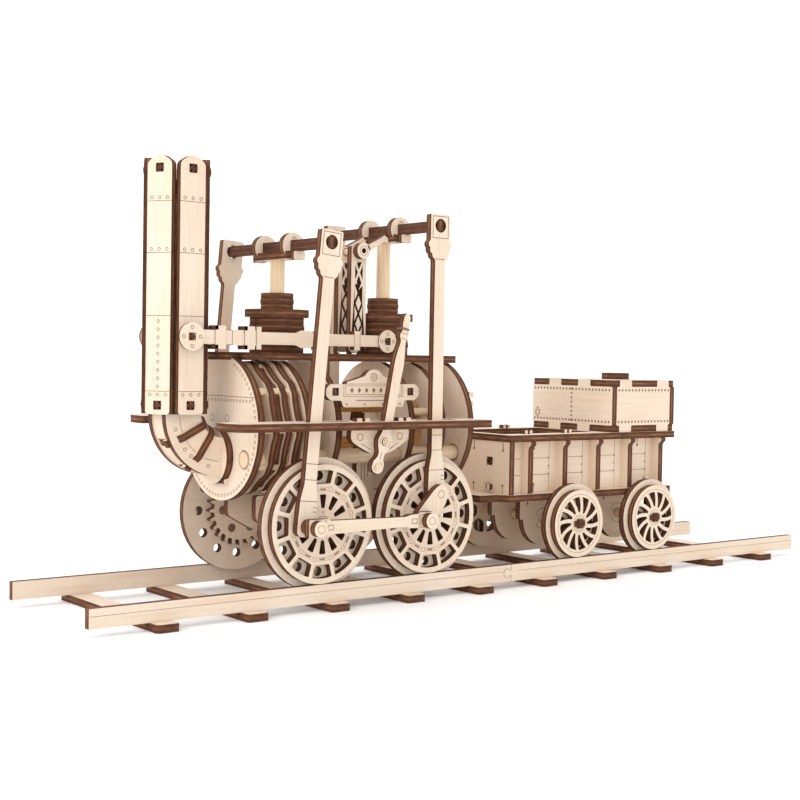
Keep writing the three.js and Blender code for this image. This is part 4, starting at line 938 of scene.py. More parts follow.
deck_low, deck_high = span("top_deck")
thread_low, thread_high = span("near_boiler_dowel")
THREAD_Z = (thread_low.z + thread_high.z) / 2
THREAD_Y = abs(thread_low.y + thread_high.y) / 2


def thread_holes(radius=THREAD_FIT, count=20):
    """Where the two dowels pass through a disc."""
    return [circle(side * THREAD_Y, THREAD_Z, radius, count) for side in (-1, 1)]


def rim_studs(plate, face, outward, gap):
    """Engraved rings round the rim, leaving a gap of some degrees to each side of the top."""
    rim = circle(0, BOILER_Z, BOILER_R - RIM_INSET, 90, math.radians(90 - gap), -math.radians(360 - 2 * gap))
    studs(plate, ACROSS, face, outward, [rim], 2.3)


low, high = span("boiler_front_plate")
face = low.x
PIN_Y, PIN_Z = 11.8, 76.8
plate = Assembly()
plate.sheet(ACROSS, face, PLY, notched_disc(BOILER_R, TONGUE, deck_low.z - 0.05), *thread_holes(THREAD_HOLE, 28),
            block(PIN_Y, PIN_Z, 1.1, 1.1), upright=True)
seam = 80.8
chord = math.sqrt(BOILER_R ** 2 - (seam - BOILER_Z) ** 2)
plate.mark(ACROSS, face, -1, [(-chord + 0.1, seam), (chord - 0.1, seam)], 0.24)
for y in (-5.6, 5.9):
    plate.ring_mark(ACROSS, face, -1, y, 72.3, 1.35, 18, 0.22)
for side in (-1, 1):
    plate.ring_mark(ACROSS, face, -1, side * THREAD_Y, THREAD_Z, 3.6, 28, 0.3)
rim_studs(plate, face, -1, 24)
studs(plate, ACROSS, face, -1, [[(-chord + 3.4, seam - 1.5), (chord - 3.2, seam - 1.5)]], 2.3)
for z in (50.3, 46.9):
    hook = [(face - 2.2, z + 0.4), (face - 2.2, z + 2), (face + 0.5, z + 2.7), (face + 0.5, z)]
    plate.sheet(ALONG, -7.6, PLY, rounded(hook, 0.3, 2))
plate.sheet(ACROSS, face - 0.4, 2.2, block(PIN_Y, PIN_Z, 0.9, 0.9), face=EDGE)
fit(plate.make("boiler_front_disc"), "locomotive", "birch_ply", "boiler_front_plate")

low, high = span("boiler_rear_plate")
plate = Assembly()
plate.sheet(ACROSS, low.x, PLY, notched_disc(BOILER_R, 14.05, deck_low.z - 0.05), *thread_holes(THREAD_HOLE, 28),
            upright=True)
for side in (-1, 1):
    for face, outward in ((low.x, -1), (high.x, 1)):
        plate.ring_mark(ACROSS, face, outward, side * THREAD_Y, THREAD_Z, 3.6, 28, 0.3)
rim_studs(plate, high.x, 1, 30)
for z in (80.5, 76.7):
    plate.sheet(ALONG, -25.6, PLY, rounded(oblong(high.x - 0.5, high.x + 2, z, z + 2.2), 0.4, 2))
plate.ring_mark(ACROSS, high.x, 1, 0, BOILER_Z + 2, 7.5, 36, 0.24)
for a, b in circle(0, BOILER_Z + 2, 11, 3, 0.5):
    plate.ring_mark(ACROSS, high.x, 1, a, b, 1.3, 14, 0.24)
fit(plate.make("boiler_rear_disc"), "locomotive", "birch_ply", "boiler_rear_plate")

for name in ("near", "far"):
    turned_pin(f"{name}_boiler_dowel", "locomotive", ACROSS)


def lobed_ring(radius, count=10):
    """A ten-sided ring with a low rounded lobe at each corner."""
    points = [polar(radius * reach, i * math.tau / count + share, 0, BOILER_Z) for i in range(count)
              for share, reach in ((-0.18, 0.965), (-0.1, 1.0), (0.1, 1.0), (0.18, 0.965))]
    return rounded(points, 1.0, 2)


def saddle_ring(radius, count=72):
    """A round ring cut down under the deck."""
    return notched_disc(radius, 14, deck_low.z - 0.1, count)


pack_x = span("boiler_ring_front")[0].x - 1.3
pack = Assembly()
for x, thick, outline in ((pack_x, PLY - 0.1, lobed_ring(26.6)), (pack_x + PLY, PLY - 0.15, lobed_ring(24.9)),
                          (pack_x + 2 * PLY, PLY - 0.15, lobed_ring(25.9)),
                          (pack_x + 3 * PLY + 1.2, PLY, lobed_ring(26.9)),
                          (pack_x + 4 * PLY + 2.6, PLY, saddle_ring(27, 60))):
    pack.sheet(ACROSS, x, thick, outline, circle(0, BOILER_Z, 16.5, 40), *thread_holes(), upright=True)
for a, b in circle(0, BOILER_Z, 24.2, 10):
    pack.pin(ACROSS, a, b, 1.5, pack_x - 4.4, pack_x + 16, 12)
fit(pack.make("boiler_front_rings"), "locomotive", "birch_ply", "boiler_ring_front")

x = span("boiler_ring_middle")[0].x
disc = Assembly()
disc.sheet(ACROSS, x, PLY, saddle_ring(27.2), circle(0, BOILER_Z, 10.5, 32), *thread_holes(), upright=True)
disc.sheet(ACROSS, x + PLY + 0.05, PLY - 0.1, lobed_ring(20.5), circle(0, BOILER_Z, 12, 32), upright=True)
fit(disc.make("boiler_middle_disc"), "locomotive", "birch_ply", "boiler_ring_middle")

pair_x = span("boiler_ring_rear")[0].x
pair_bore = circle(0, BOILER_Z, 14.5, 36)
pair = Assembly()
for x, radius in ((pair_x - 7, 26.8), (pair_x + 9.4, 26.4)):
    pair.sheet(ACROSS, x, PLY, saddle_ring(radius), pair_bore, *thread_holes(), upright=True)
pair.sheet(ACROSS, pair_x - 3.9, PLY - 0.1, lobed_ring(22), pair_bore, upright=True)
for a, b in circle(0, BOILER_Z, 18.5, 5, 0.3):
    pair.pin(ACROSS, a, b, 1.5, pair_x - 6, pair_x + 11, 12)
fit(pair.make("boiler_rear_rings"), "locomotive", "birch_ply", "boiler_ring_rear")

low, high = deck_low, deck_high
tongue_x = span("boiler_front_plate")[1].x + 0.05
tongue_y = TONGUE - 0.05
deck = Assembly()
deck.sheet(FLAT, low.z, PLY, [(tongue_x, low.y), (high.x, low.y), (high.x, high.y), (tongue_x, high.y),
                              (tongue_x, tongue_y), (low.x, tongue_y), (low.x, -tongue_y), (tongue_x, -tongue_y)],
           *[circle(x, 0, PISTON_HOLE, 20) for x in (front_x, rear_x)])
for side in (-1, 1):
    deck.mark(FLAT, high.z, 1, [(tongue_x + 1, side * 12.4), (high.x - 1, side * 12.4)], 0.24)
    studs(deck, FLAT, high.z, 1, [[(tongue_x + 3, side * 10.8), (high.x - 3, side * 10.8)]], 4.2)
fit(deck.make("top_deck_ply"), "locomotive", "birch_ply", "top_deck")


def rubber():
    """Amber natural rubber, slightly translucent, with a faint stretch marking."""
    material = plain_material("amber_rubber", (0.62, 0.33, 0.07), 0.42)
    shader_of(material).inputs["Subsurface Weight"].default_value = 0.15
    shader_of(material).inputs["Subsurface Radius"].default_value = (0.002, 0.001, 0.0005)
    marks = grain_nodes(material, (0.4, 2.5), 1.0, 3)
    colour = ramp_node(material, marks, (0.3, (0.5, 0.24, 0.045)), (0.7, (0.74, 0.42, 0.1)))
    return finish_with(material, colour, marks, 0.3, 0.1)


FINISHES.append(rubber())
RUBBER = len(FINISHES) - 1
STRAND_WIDTH, STRAND_THICK = 2.2, 1.3
low, high = span("rubber_band")
level = (low.z + high.z) / 2


def stretched_loop(radius):
    """A loop of the band, drawn tight round two posts."""
    return (circle(high.x - 9, level, radius, 12, -math.pi / 2, math.pi)
            + circle(low.x + 9, level, radius, 12, math.pi / 2, math.pi))


band = Assembly()
for lift, low_y in ((9, -5.4), (7.4, -2.6), (8.3, 0.2), (6.4, 3.0)):
    band.sheet(ALONG, low_y, STRAND_WIDTH, rounded(stretched_loop(lift), 0.2, 1), stretched_loop(lift - STRAND_THICK),
               face=RUBBER, edge=RUBBER)
fit(band.make("drive_band"), "locomotive", "rubber_band", "rubber_band")

# ---------------------------------------------------------------- chimney and its elbow
# Six gabled staves stand round a hexagon with dark open joints, pinned near both ends by square
# cross pins.  The elbow below is two cheeks with bent skins between them, two ribs and an end ring.
STAVES = 6
APOTHEM = 12.2
HALF_STAVE = 5.2
low, high = span("chimney")
CHIMNEY_X = (low.x + high.x) / 2
foot, top = low.z, high.z
pin_levels = (top - 4.7, foot + 3.4)
face = -APOTHEM


def chimney_studs(piece, path, spacing):
    studs(piece, ALONG, face, -1, [path], spacing, 0.68, 0.24)


def staves(piece):
    return repeated(RINGS, piece, Count=STAVES, Turn=math.tau / STAVES, Centre=(CHIMNEY_X * MM, 0, 0), Axis=Z_AXIS)


gable = [(CHIMNEY_X - HALF_STAVE, foot), (CHIMNEY_X + HALF_STAVE, foot), (CHIMNEY_X + HALF_STAVE, top - 2.6),
         (CHIMNEY_X + 1.3, top), (CHIMNEY_X - 1.3, top), (CHIMNEY_X - HALF_STAVE, top - 2.6)]
stave = Assembly()
stave.sheet(ALONG, face, PLY, rounded(gable, 1.3, 3), *[block(CHIMNEY_X, z, 1.65, 1.65) for z in pin_levels],
            upright=True)
for z in (top - 17, top - 36, foot + 36.5, foot + 8.6):
    stave.mark(ALONG, face, -1, [(CHIMNEY_X - HALF_STAVE + 0.05, z), (CHIMNEY_X + HALF_STAVE - 0.05, z)], 0.22)
for z in (top - 15.75, top - 34.75, foot + 7.35):
    chimney_studs(stave, [(CHIMNEY_X - 3.3, z), (CHIMNEY_X + 3.4, z)], 3.3)
for z in pin_levels:
    for half_x, half_z, proud in ((1.5, 0.62, 0.45), (0.62, 1.5, 0.35)):
        stave.peg(ALONG, face - proud, face - proud + 4.4, block(CHIMNEY_X, z, half_x, half_z))
    for way in (-1, 1):
        stave.peg(ALONG, face + 0.6, face + 3, block(CHIMNEY_X + way * 1.1, z + way * 1.1, 0.42, 0.42))
chimney = Assembly()
chimney.absorb(staves(stave))
# Three hexagon rings inside, their faces given the burnt finish as well: painted shade in the hollow of the chimney,
# seen down its open top.
for z in (foot + 0.5, (foot + top) / 2, top - 12):
    chimney.sheet(FLAT, z, PLY, circle(CHIMNEY_X, 0, 9.9, 6), circle(CHIMNEY_X, 0, 8.4, 24), face=EDGE)
# A column of rivets on four of the six staves.
column = Assembly()
chimney_studs(column, [(CHIMNEY_X, foot + 10.4), (CHIMNEY_X, foot + 34.5)], 2.85)
axis = Matrix.Translation((CHIMNEY_X, 0, 0))
for turn in (-1, 1, 2, 4):
    spin = axis @ Matrix.Rotation(turn * math.tau / STAVES, 4, "Z") @ axis.inverted()
    base = len(chimney.points)
    chimney.points += [spin @ point for point in column.points]
    for corners, kind, drawn in zip(column.faces, column.kinds, column.coordinates):
        chimney.face([base + i for i in corners], kind, drawn)
fit(chimney.make("chimney_staves"), "locomotive", "birch_ply", "chimney")

BEND_OUTER, BEND_INNER, HALF_ELBOW = 24.0, 9.0, 7.0
plate_face = span("boiler_front_plate")[0].x
end_x = plate_face - 0.05
bend = Vector((plate_face - 3.1, 0, foot - 0.05))


def arc(radius, first=180, last=270, steps=18):
    return circle(bend.x, bend.z, radius, steps, math.radians(first), math.radians(last - first))


def bent_strip(outer, inner, stop):
    """A strip that follows the bend and then runs straight to its end."""
    return arc(outer) + [(stop, bend.z - outer), (stop, bend.z - inner)] + arc(inner)[::-1]


elbow = Assembly()
for side in (-1, 1):
    face = side * HALF_ELBOW
    elbow.between(ALONG, face, face - side * PLY, bent_strip(BEND_OUTER, BEND_INNER, end_x))
    for first, last in ((183, 208), (214, 236), (246, 266)):
        elbow.mark(ALONG, face, side, arc(18.2, first, last, 8), 0.2)
    for degrees in (206, 236.5):
        elbow.mark(ALONG, face, side, [polar(r, math.radians(degrees), bend.x, bend.z) for r in (11, 16.5)], 0.2)
    for degrees in (196, 220, 230, 254):
        elbow.ring_mark(ALONG, face, side, *polar(20.6, math.radians(degrees), bend.x, bend.z), 0.62, 12, 0.24)
for outer, inner in ((BEND_OUTER - 0.5, BEND_OUTER - 2), (BEND_INNER + 2, BEND_INNER + 0.6)):
    elbow.sheet(ALONG, PLY - HALF_ELBOW, 2 * (HALF_ELBOW - PLY), bent_strip(outer, inner, end_x - 3), face=EDGE,
                edge=FACE)
for degrees in (207, 237):
    c, s = math.cos(math.radians(degrees)), math.sin(math.radians(degrees))
    tilt = Matrix(((0, c, -s), (1, 0, 0), (0, s, c)))
    rib = circle(0, 14.6, 9.5, 36, math.radians(-150), math.radians(300))
    elbow.sheet(tilt, -PLY / 2, PLY, rounded(rib, 0.6, 2), shift=bend)
    elbow.sheet(tilt, -PLY / 2, PLY, oblong(-5.3, -2.9, BEND_OUTER - 3, BEND_OUTER + 1.0), shift=bend)
elbow.sheet(ACROSS, end_x - PLY, PLY, circle(0, bend.z - 16.5, 10.8, 44))
fit(elbow.make("chimney_elbow_cheeks"), "locomotive", "birch_ply", "chimney_elbow")

# ---------------------------------------------------------------- steam pipes
# A long flat bar each side of the cylinders, with a round plate at either end, stepped collars
# and small square cross pins above and below it.
PLATE_PROUD = 0.5
for name, side in (("near", -1), ("far", 1)):
    node = f"{name}_steam_pipe"
    low, high = span(node)
    z = (low.z + high.z) / 2
    face = faces_of(low, high, side)[1]
    first_end, x0, x1 = low.x + 5.4, CHIMNEY_X, high.x - 5
    half = [(first_end, 2.65), (x0 + 15.6, 2.65), (x0 + 15.6, 2.9), (x0 + 22.6, 2.9), (x0 + 22.6, 4.3),
            (x0 + 24.7, 4.3), (x0 + 24.7, 2.9), (x0 + 26.2, 2.9), (x0 + 26.2, 4.3), (x0 + 28.4, 4.3),
            (x0 + 28.4, 2.35), (x0 + 44, 2.35), (x0 + 46.4, 3.4), (x0 + 50.5, 3.4), (x0 + 53, 2.35),
            (x1 - 16.4, 2.35), (x1 - 16.4, 3.8), (x1 - 13.6, 3.8), (x1 - 13.6, 2.3), (x1, 2.3)]
    pipe = Assembly()
    pipe.sheet(ALONG, low.y, PLY, both_halves([(a, -b) for a, b in half], z))
    for x in (x0 + 15.6, x0 + 22.6, x0 + 24.7, x0 + 26.2, x1 - 16.4, x1 - 13.6):
        pipe.mark(ALONG, face, side, [(x, z - 2.8), (x, z + 2.8)], 0.22)
    proud = face + side * PLATE_PROUD
    for x, radius in ((first_end, 5.3), (x1, 4.6)):
        pipe.between(ALONG, face - side * 0.3, proud, circle(x, z, radius, 36), block(x, z, 1.45, 1.45))
        for half_x, half_z, rise in ((1.25, 0.5, 0.3), (0.5, 1.25, 0.5)):
            pipe.peg(ALONG, face - side * 0.4, proud + side * rise, block(x, z, half_x, half_z))
        for a, b in circle(x, z, radius * 0.66, 4):
            pipe.ring_mark(ALONG, proud, side, a, b, 0.62, 12, 0.22)
    pin_in, pin_out = face - side * 4, face + side * 0.35
    for x in (x0 + 8.5, x0 + 21.2):
        for way in (-1, 1):
            pipe.peg(ALONG, pin_in, pin_out, block(x, z + way * 3.6, 0.9, 0.8))
        pipe.sheet(ALONG, min(pin_in, pin_out), PLY, rounded(oblong(x - 0.4, x + 4.2, z - 4.4, z + 4.4), 0.5, 2),
                   upright=True)
    fit(pipe.make(node + "_bar"), "locomotive", "birch_ply", node)

# ---------------------------------------------------------------- footplates, bracket and start lever
# A long board each side of the boiler, slotted for the rods.  Under the near one hangs a bracket
# with the start lever, whose slender handle comes up through the board.
PIVOT_Z = 64.0
CORNER = 7
SLOT_PLAY = 0.3
rod_low, rod_high = span("near_front_rod")
lever_low, lever_high = span("start_lever")
bracket_low, bracket_high = span("lever_bracket")
PIVOT_X = (bracket_low.x + bracket_high.x) / 2
for name, side in (("near", -1), ("far", 1)):
    node = f"{name}_footplate"
    low, high = span(node)
    inner, outer = faces_of(low, high, side)
    shape = [(low.x, inner), (high.x, inner), (high.x, outer), (low.x + CORNER, outer),
             (low.x + 2, outer - side * 1.6), (low.x, outer - side * CORNER)]
    slots = []
    for x0, x1, inside, outside in ((front_x - 9.8, front_x + 9.8, rod_high, rod_low),
                                    (rear_x - 9.8, rear_x + 9.8, rod_high, rod_low),
                                    (PIVOT_X - 6.5, PIVOT_X + 7, lever_high, lever_low)):
        edges = (abs(inside.y) - SLOT_PLAY, abs(outside.y) + SLOT_PLAY)
        slots.append(oblong(x0, x1, *sorted(side * y for y in edges)))
    board = Assembly()
    board.sheet(FLAT, low.z, PLY, rounded(shape, 2.0, 4), *slots)
    for level, outward in ((high.z, 1), (low.z, -1)):
        edge = outer - side * 1.6
        board.mark(FLAT, level, outward, [(low.x + 8, edge), (high.x - 1.5, edge)], 0.22)
        for x in (low.x + 8, high.x - 1.5):
            board.mark(FLAT, level, outward, [(x, edge), (x, inner + side * 1.2)], 0.22)
        line = outer - side * 3.1
        studs(board, FLAT, level, outward, [[(low.x + 12, line), (high.x - 5, line)]], 6.1, 0.55)
    tab_low = -abs(bracket_low.y) if side < 0 else abs(bracket_high.y)
    for x in (PIVOT_X - 12.4, PIVOT_X - 8.6, PIVOT_X + 7.6, PIVOT_X + 11.4):
        tab = oblong(x - 1.2, x + 1.2, high.z - 0.2, high.z + 1.3)
        board.sheet(ALONG, tab_low, PLY, rounded(tab, 0.4, 2))
    fit(board.make(node + "_board"), "locomotive", "birch_ply", node)

low, high = bracket_low, bracket_high
top = high.z
plate_face = -(abs(high.y) + PLY)
pin_face = low.y - 0.4
bracket = Assembly()
shape = [(low.x, top), (low.x, top - 4.4), (low.x + 3.2, top - 6.4), (PIVOT_X - 4.5, top - 9.6),
         (PIVOT_X + 4.5, top - 9.6), (high.x - 3.2, top - 6.4), (high.x, top - 4.4), (high.x, top)]
bracket.sheet(ALONG, plate_face, PLY, rounded(shape, 1.6, 3))
for way in (-1, 1):
    bracket.ring_mark(ALONG, plate_face, -1, PIVOT_X + way * 9.6, top - 3.1, 1.35, 16, 0.26)
    bracket.mark(ALONG, plate_face, -1, [(PIVOT_X + way * 9.0, top - 5.7), (PIVOT_X + way * 4.6, top - 8.0)], 0.26)
bracket.pin(ALONG, PIVOT_X, PIVOT_Z, PIN_RADIUS, plate_face, pin_face, 16, DOWEL, EDGE)
bracket.ring_mark(ALONG, pin_face, -1, PIVOT_X, PIVOT_Z, 0.8, 12, 0.2)
fit(bracket.make("lever_bracket_plate"), "locomotive", "birch_ply", "lever_bracket")

HANDLE_LEAN = 0.204
TAIL_LEAN = math.atan2(3.4, 9.4)
TAIL_REACH = 10
low, high = lever_low, lever_high
face = low.y
reach = (high.z - PIVOT_Z) / math.cos(HANDLE_LEAN)


def on_handle(points):
    return turned(points, -HANDLE_LEAN)


def on_tail(points):
    return turned(points, -TAIL_LEAN)


handle = [(2.9, 2.0), (2.0, 4.2), (1.9, 10), (2.3, reach * 0.62), (1.75, reach * 0.72), (1.2, reach * 0.78),
          (1.2, reach * 0.8), (2.1, reach * 0.82), (2.1, reach * 0.85), (1.25, reach * 0.87), (1.7, reach * 0.93),
          (1.5, reach - 0.6), (0.6, reach + 0.9)]
tail = [(3.3, -0.4), (2.7, -2.4), (1.45, -4.6), (1.45, -6.6), (2.7, -8.6), (2.75, -11.2), (1.3, -12.7)]
outline = (on_handle(handle[::-1]) + [(3.45, 0.6)] + on_tail(tail) + on_tail([(-a, b) for a, b in tail[::-1]])
           + [(-3.45, 0.6)] + on_handle([(-a, b) for a, b in handle]))
lever = Assembly()
lever.sheet(ALONG, face, PLY, moved(rounded(outline, 0.7, 3), PIVOT_X, PIVOT_Z), circle(PIVOT_X, PIVOT_Z, 1.65, 16),
            upright=True)
tail_x, tail_z = moved(on_tail([(0, -TAIL_REACH)]), PIVOT_X, PIVOT_Z)[0]
lever.pin(ALONG, tail_x, tail_z, 1.2, face - 0.25, face + 1, 14, DOWEL, EDGE)
lever.mark(ALONG, face, -1, moved(on_tail([(0, -4.4), (0, -7.4)]), PIVOT_X, PIVOT_Z), 0.22)
for first, sweep in ((2.2 - HANDLE_LEAN, 1.5), (-0.9 - HANDLE_LEAN, 1.2)):
    lever.mark(ALONG, face, -1, circle(PIVOT_X, PIVOT_Z, 2.5, 8, first, sweep), 0.22)
    lever.mark(ALONG, face, -1, circle(tail_x, tail_z, 1.95, 8, first + 1, sweep), 0.2)
for level in (reach * 0.815, reach * 0.855):
    lever.mark(ALONG, face, -1, moved(on_handle([(-1.9, level), (1.9, level)]), PIVOT_X, PIVOT_Z), 0.2)
groove = moved(on_handle(oblong(-1.75, 1.75, reach * 0.885, reach * 0.9)), PIVOT_X, PIVOT_Z)
lever.sheet(ALONG, face - 0.35, PLY + 0.7, groove, face=MARK, edge=MARK)
fit(lever.make("start_lever_handle"), "start_lever", "birch_ply", "start_lever")

# ---------------------------------------------------------------- frames under the boiler
# Two identical plates on edge carry both axles and the pinion, and rise to the boiler in an arm
# below the towers.
AXLE_HOLE = 2.3
tower_low, tower_high = span("near_tower")
arm_x = (tower_low.x + tower_high.x) / 2
bar_top = axle_z + 9.5
for name, side in (("near", -1), ("far", 1)):
    node = f"{name}_frame"
    low, high = span(node)
    face = faces_of(low, high, side)[1]
    shape = [(low.x, bar_top), (low.x, axle_z), (front_x - 5, low.z), (front_x + 5, low.z),
             (front_x + 12, axle_z - 1), (rear_x - 12, axle_z - 1), (rear_x - 5, low.z), (rear_x + 5, low.z),
             (high.x, axle_z), (high.x, bar_top), (arm_x + 4, bar_top), (arm_x + 4, high.z), (arm_x - 4, high.z),
             (arm_x - 4, bar_top)]
    holes = [circle(a, b, AXLE_HOLE, 16) for a, b in ((front_x, axle_z), (rear_x, axle_z), (pinion_x, pinion_z))]
    plate = Assembly()
    plate.sheet(ALONG, low.y, PLY, rounded(shape, 1.4, 3), *holes)
    for x in (front_x, rear_x):
        plate.ring_mark(ALONG, face, side, x, axle_z, 4.2, 20, 0.24)
    for i, x in enumerate((arm_x - 1.6, arm_x, arm_x + 1.6)):
        plate.mark(ALONG, face, side, [(x, bar_top + 3 + i), (x, high.z - 3)], 0.3)
    fit(plate.make(node + "_plate"), "locomotive", "birch_ply", node)

# ---------------------------------------------------------------- towers and radius levers
# Two lattice towers stand on the deck between the cylinders, each cut from one sheet.  On their
# top pin swing the levers that steady the rear crosshead.
POST, BAR, SLANT, BAYS = 1.9, 0.55, 1.1, 4
for name, side in (("near", -1), ("far", 1)):
    node = f"{name}_tower"
    low, high = span(node)
    left, right, centre = low.x + POST, high.x - POST, (low.x + high.x) / 2
    foot_z, head_z = low.z + 4, high.z - 6.5
    pitch = (head_z - foot_z) / BAYS
    holes = []
    for i in range(BAYS):
        b0, b1 = foot_z + i * pitch, foot_z + (i + 1) * pitch
        cross = (b0 + b1) / 2
        holes += [[(left, b0 + SLANT), (centre - BAR, cross), (left, b1 - SLANT)],
                  [(right, b0 + SLANT), (right, b1 - SLANT), (centre + BAR, cross)],
                  [(left + BAR, b0), (right - BAR, b0), (centre, cross - SLANT)],
                  [(left + BAR, b1), (centre, cross + SLANT), (right - BAR, b1)]]
    tower = Assembly()
    tower.sheet(ALONG, low.y, PLY, rounded(oblong(low.x, high.x, low.z, high.z), 0.8, 2), *holes,
                circle(centre, high.z - 2, 1.8, 16), upright=True)
    washer_x, washer_y = (low.x - 0.6, low.y - 3.6) if side < 0 else (low.x + 4.2, -2.9)
    tower.sheet(ALONG, washer_y, 2.2, circle(washer_x, low.z + 3.2, 2.9, 24), circle(washer_x, low.z + 3.2, 1.1, 12))
    fit(tower.make(node + "_lattice"), "locomotive", "birch_ply", node)

LEVER_Y = 6.3
TIP_X, TIP_Z = 11.3, 5.8
low, high = span("radius_levers")
pin_z = tower_high.z - 2
length = math.hypot(TIP_X, TIP_Z)
blade = [(2.6, -1.25), (length - 1.5, -1.0), (length + 0.2, -1.9), (length + 0.9, -0.4), (length - 0.4, 1.6),
         (length - 2.2, 1.15), (2.6, 1.25)]
levers = Assembly()
for side in (-1, 1):
    inner, outer = side * LEVER_Y, side * (LEVER_Y + PLY)
    levers.between(ALONG, inner, outer, circle(arm_x, pin_z, 3.3, 28), circle(arm_x, pin_z, 1.1, 12))
    levers.ring_mark(ALONG, outer, side, arm_x, pin_z, 1.9, 16, 0.16)
    levers.between(ALONG, inner, outer, moved(turned(rounded(blade, 0.5, 2), math.atan2(TIP_Z, TIP_X)), arm_x, pin_z))
levers.pin(ALONG, arm_x, pin_z, PIN_RADIUS, low.y + PLY, high.y - PLY)
fit(levers.make("radius_lever_arms"), "radius_levers", "birch_ply", "radius_levers")

# ---------------------------------------------------------------- nameplate
# A scroll-topped plate pinned to the near side of the boiler by two square pins.  It carries
# engraved frames and plain ornament only.
low, high = span("nameplate")
face = low.y
plate_x = (low.x + high.x) / 2
hole_z = (low.z + 3.0 + high.z - 5.6) / 2
pins_x = (plate_x - 18.2, plate_x + 18.2)
half = [(0, high.z + 0.2), (2.6, high.z - 0.4), (4.6, high.z - 2.6), (9.5, high.z - 4.0), (13, high.z - 4.8),
        (13, high.z - 5.6), (20.8, high.z - 5.6), (22.6, high.z - 7.4), (22.6, low.z + 4.4), (20.4, low.z + 2.6),
        (15.4, low.z + 2.6), (14.6, low.z)]
plate = Assembly()
plate.sheet(ALONG, face, PLY, rounded([(plate_x + a, b) for a, b in half] + [(plate_x - a, b) for a, b in half[:0:-1]],
                                      0.8, 3), *[block(x, hole_z, 1.5, 1.5) for x in pins_x])
for x in pins_x:
    plate.peg(ALONG, face + 0.3, face + 5.7, block(x, hole_z, 1.1, 1.1))
    plate.mark(ALONG, face + 0.3, -1, [(x, hole_z - 1), (x, hole_z + 1)], 0.3)
for inset in (0, 0.75):
    plate.mark(ALONG, face, -1, block(plate_x, hole_z + 0.55, 14.4 - inset, 2.45 - inset), 0.18, closed=True)
diamond = Assembly()
diamond.char(ALONG, face, -1, moved([(-0.9, 0), (0, -1.1), (0.9, 0), (0, 1.1)], plate_x - 10.5, hole_z + 0.55))
plate.absorb(repeated(ROWS, diamond, Count=7, Step=(3.5 * MM, 0, 0)))
studs(plate, ALONG, face, -1, [[(plate_x - 13, low.z + 1.1), (plate_x + 13.1, low.z + 1.1)]], 8.7, 0.4, 0.4, 8)
plate.mark(ALONG, face, -1, [(plate_x - 8.5, low.z + 2.6), (plate_x + 8.5, low.z + 2.6)], 0.3)
for radius, width in ((1.5, 0.3), (0.6, 0.25)):
    plate.ring_mark(ALONG, face, -1, plate_x, high.z - 2.9, radius, 8, width)
fit(plate.make("nameplate_scroll"), "locomotive", "birch_ply", "nameplate")

# ---------------------------------------------------------------- tender
# A planked open wagon of laser-cut ply: floor, side walls with flared posts, end walls, a shelf
# round the coal space and a box tank with finger joints and a hatch behind it.
POST_START, POST_PITCH, POSTS = 25.2, 20.9, 5
HORN_HALF, HORN_RADIUS = 14, 12
floor_low, floor_high = span("tender_floor")
low, high = floor_low, floor_high
step_x = low.x + 9
floor_board = Assembly()
shape = [(low.x, low.y + 6), (step_x, low.y + 5), (step_x + 3, low.y), (high.x, low.y), (high.x, high.y),
         (step_x + 3, high.y), (step_x, high.y - 5), (low.x, high.y - 6)]
floor_board.sheet(FLAT, low.z, PLY, rounded(shape, 0.8, 2))
for x in (low.x + 4, low.x + 8):
    floor_board.mark(FLAT, high.z, 1, [(x, low.y + 7), (x, high.y - 7)], 0.24)
fit(floor_board.make("tender_floor_board"), "tender", "birch_ply", "tender_floor")


def keyhole(piece, lie, surface, outward, a, b, reach):
    """A fixing slit with a round end, engraved dark."""
    piece.mark(lie, surface, outward, [(a, b), (a, b + reach)], 0.42)
    piece.between(lie, surface - outward * 0.1, surface + outward * 0.035, circle(a, b + reach, 0.62, 10), face=MARK,
                  edge=MARK)


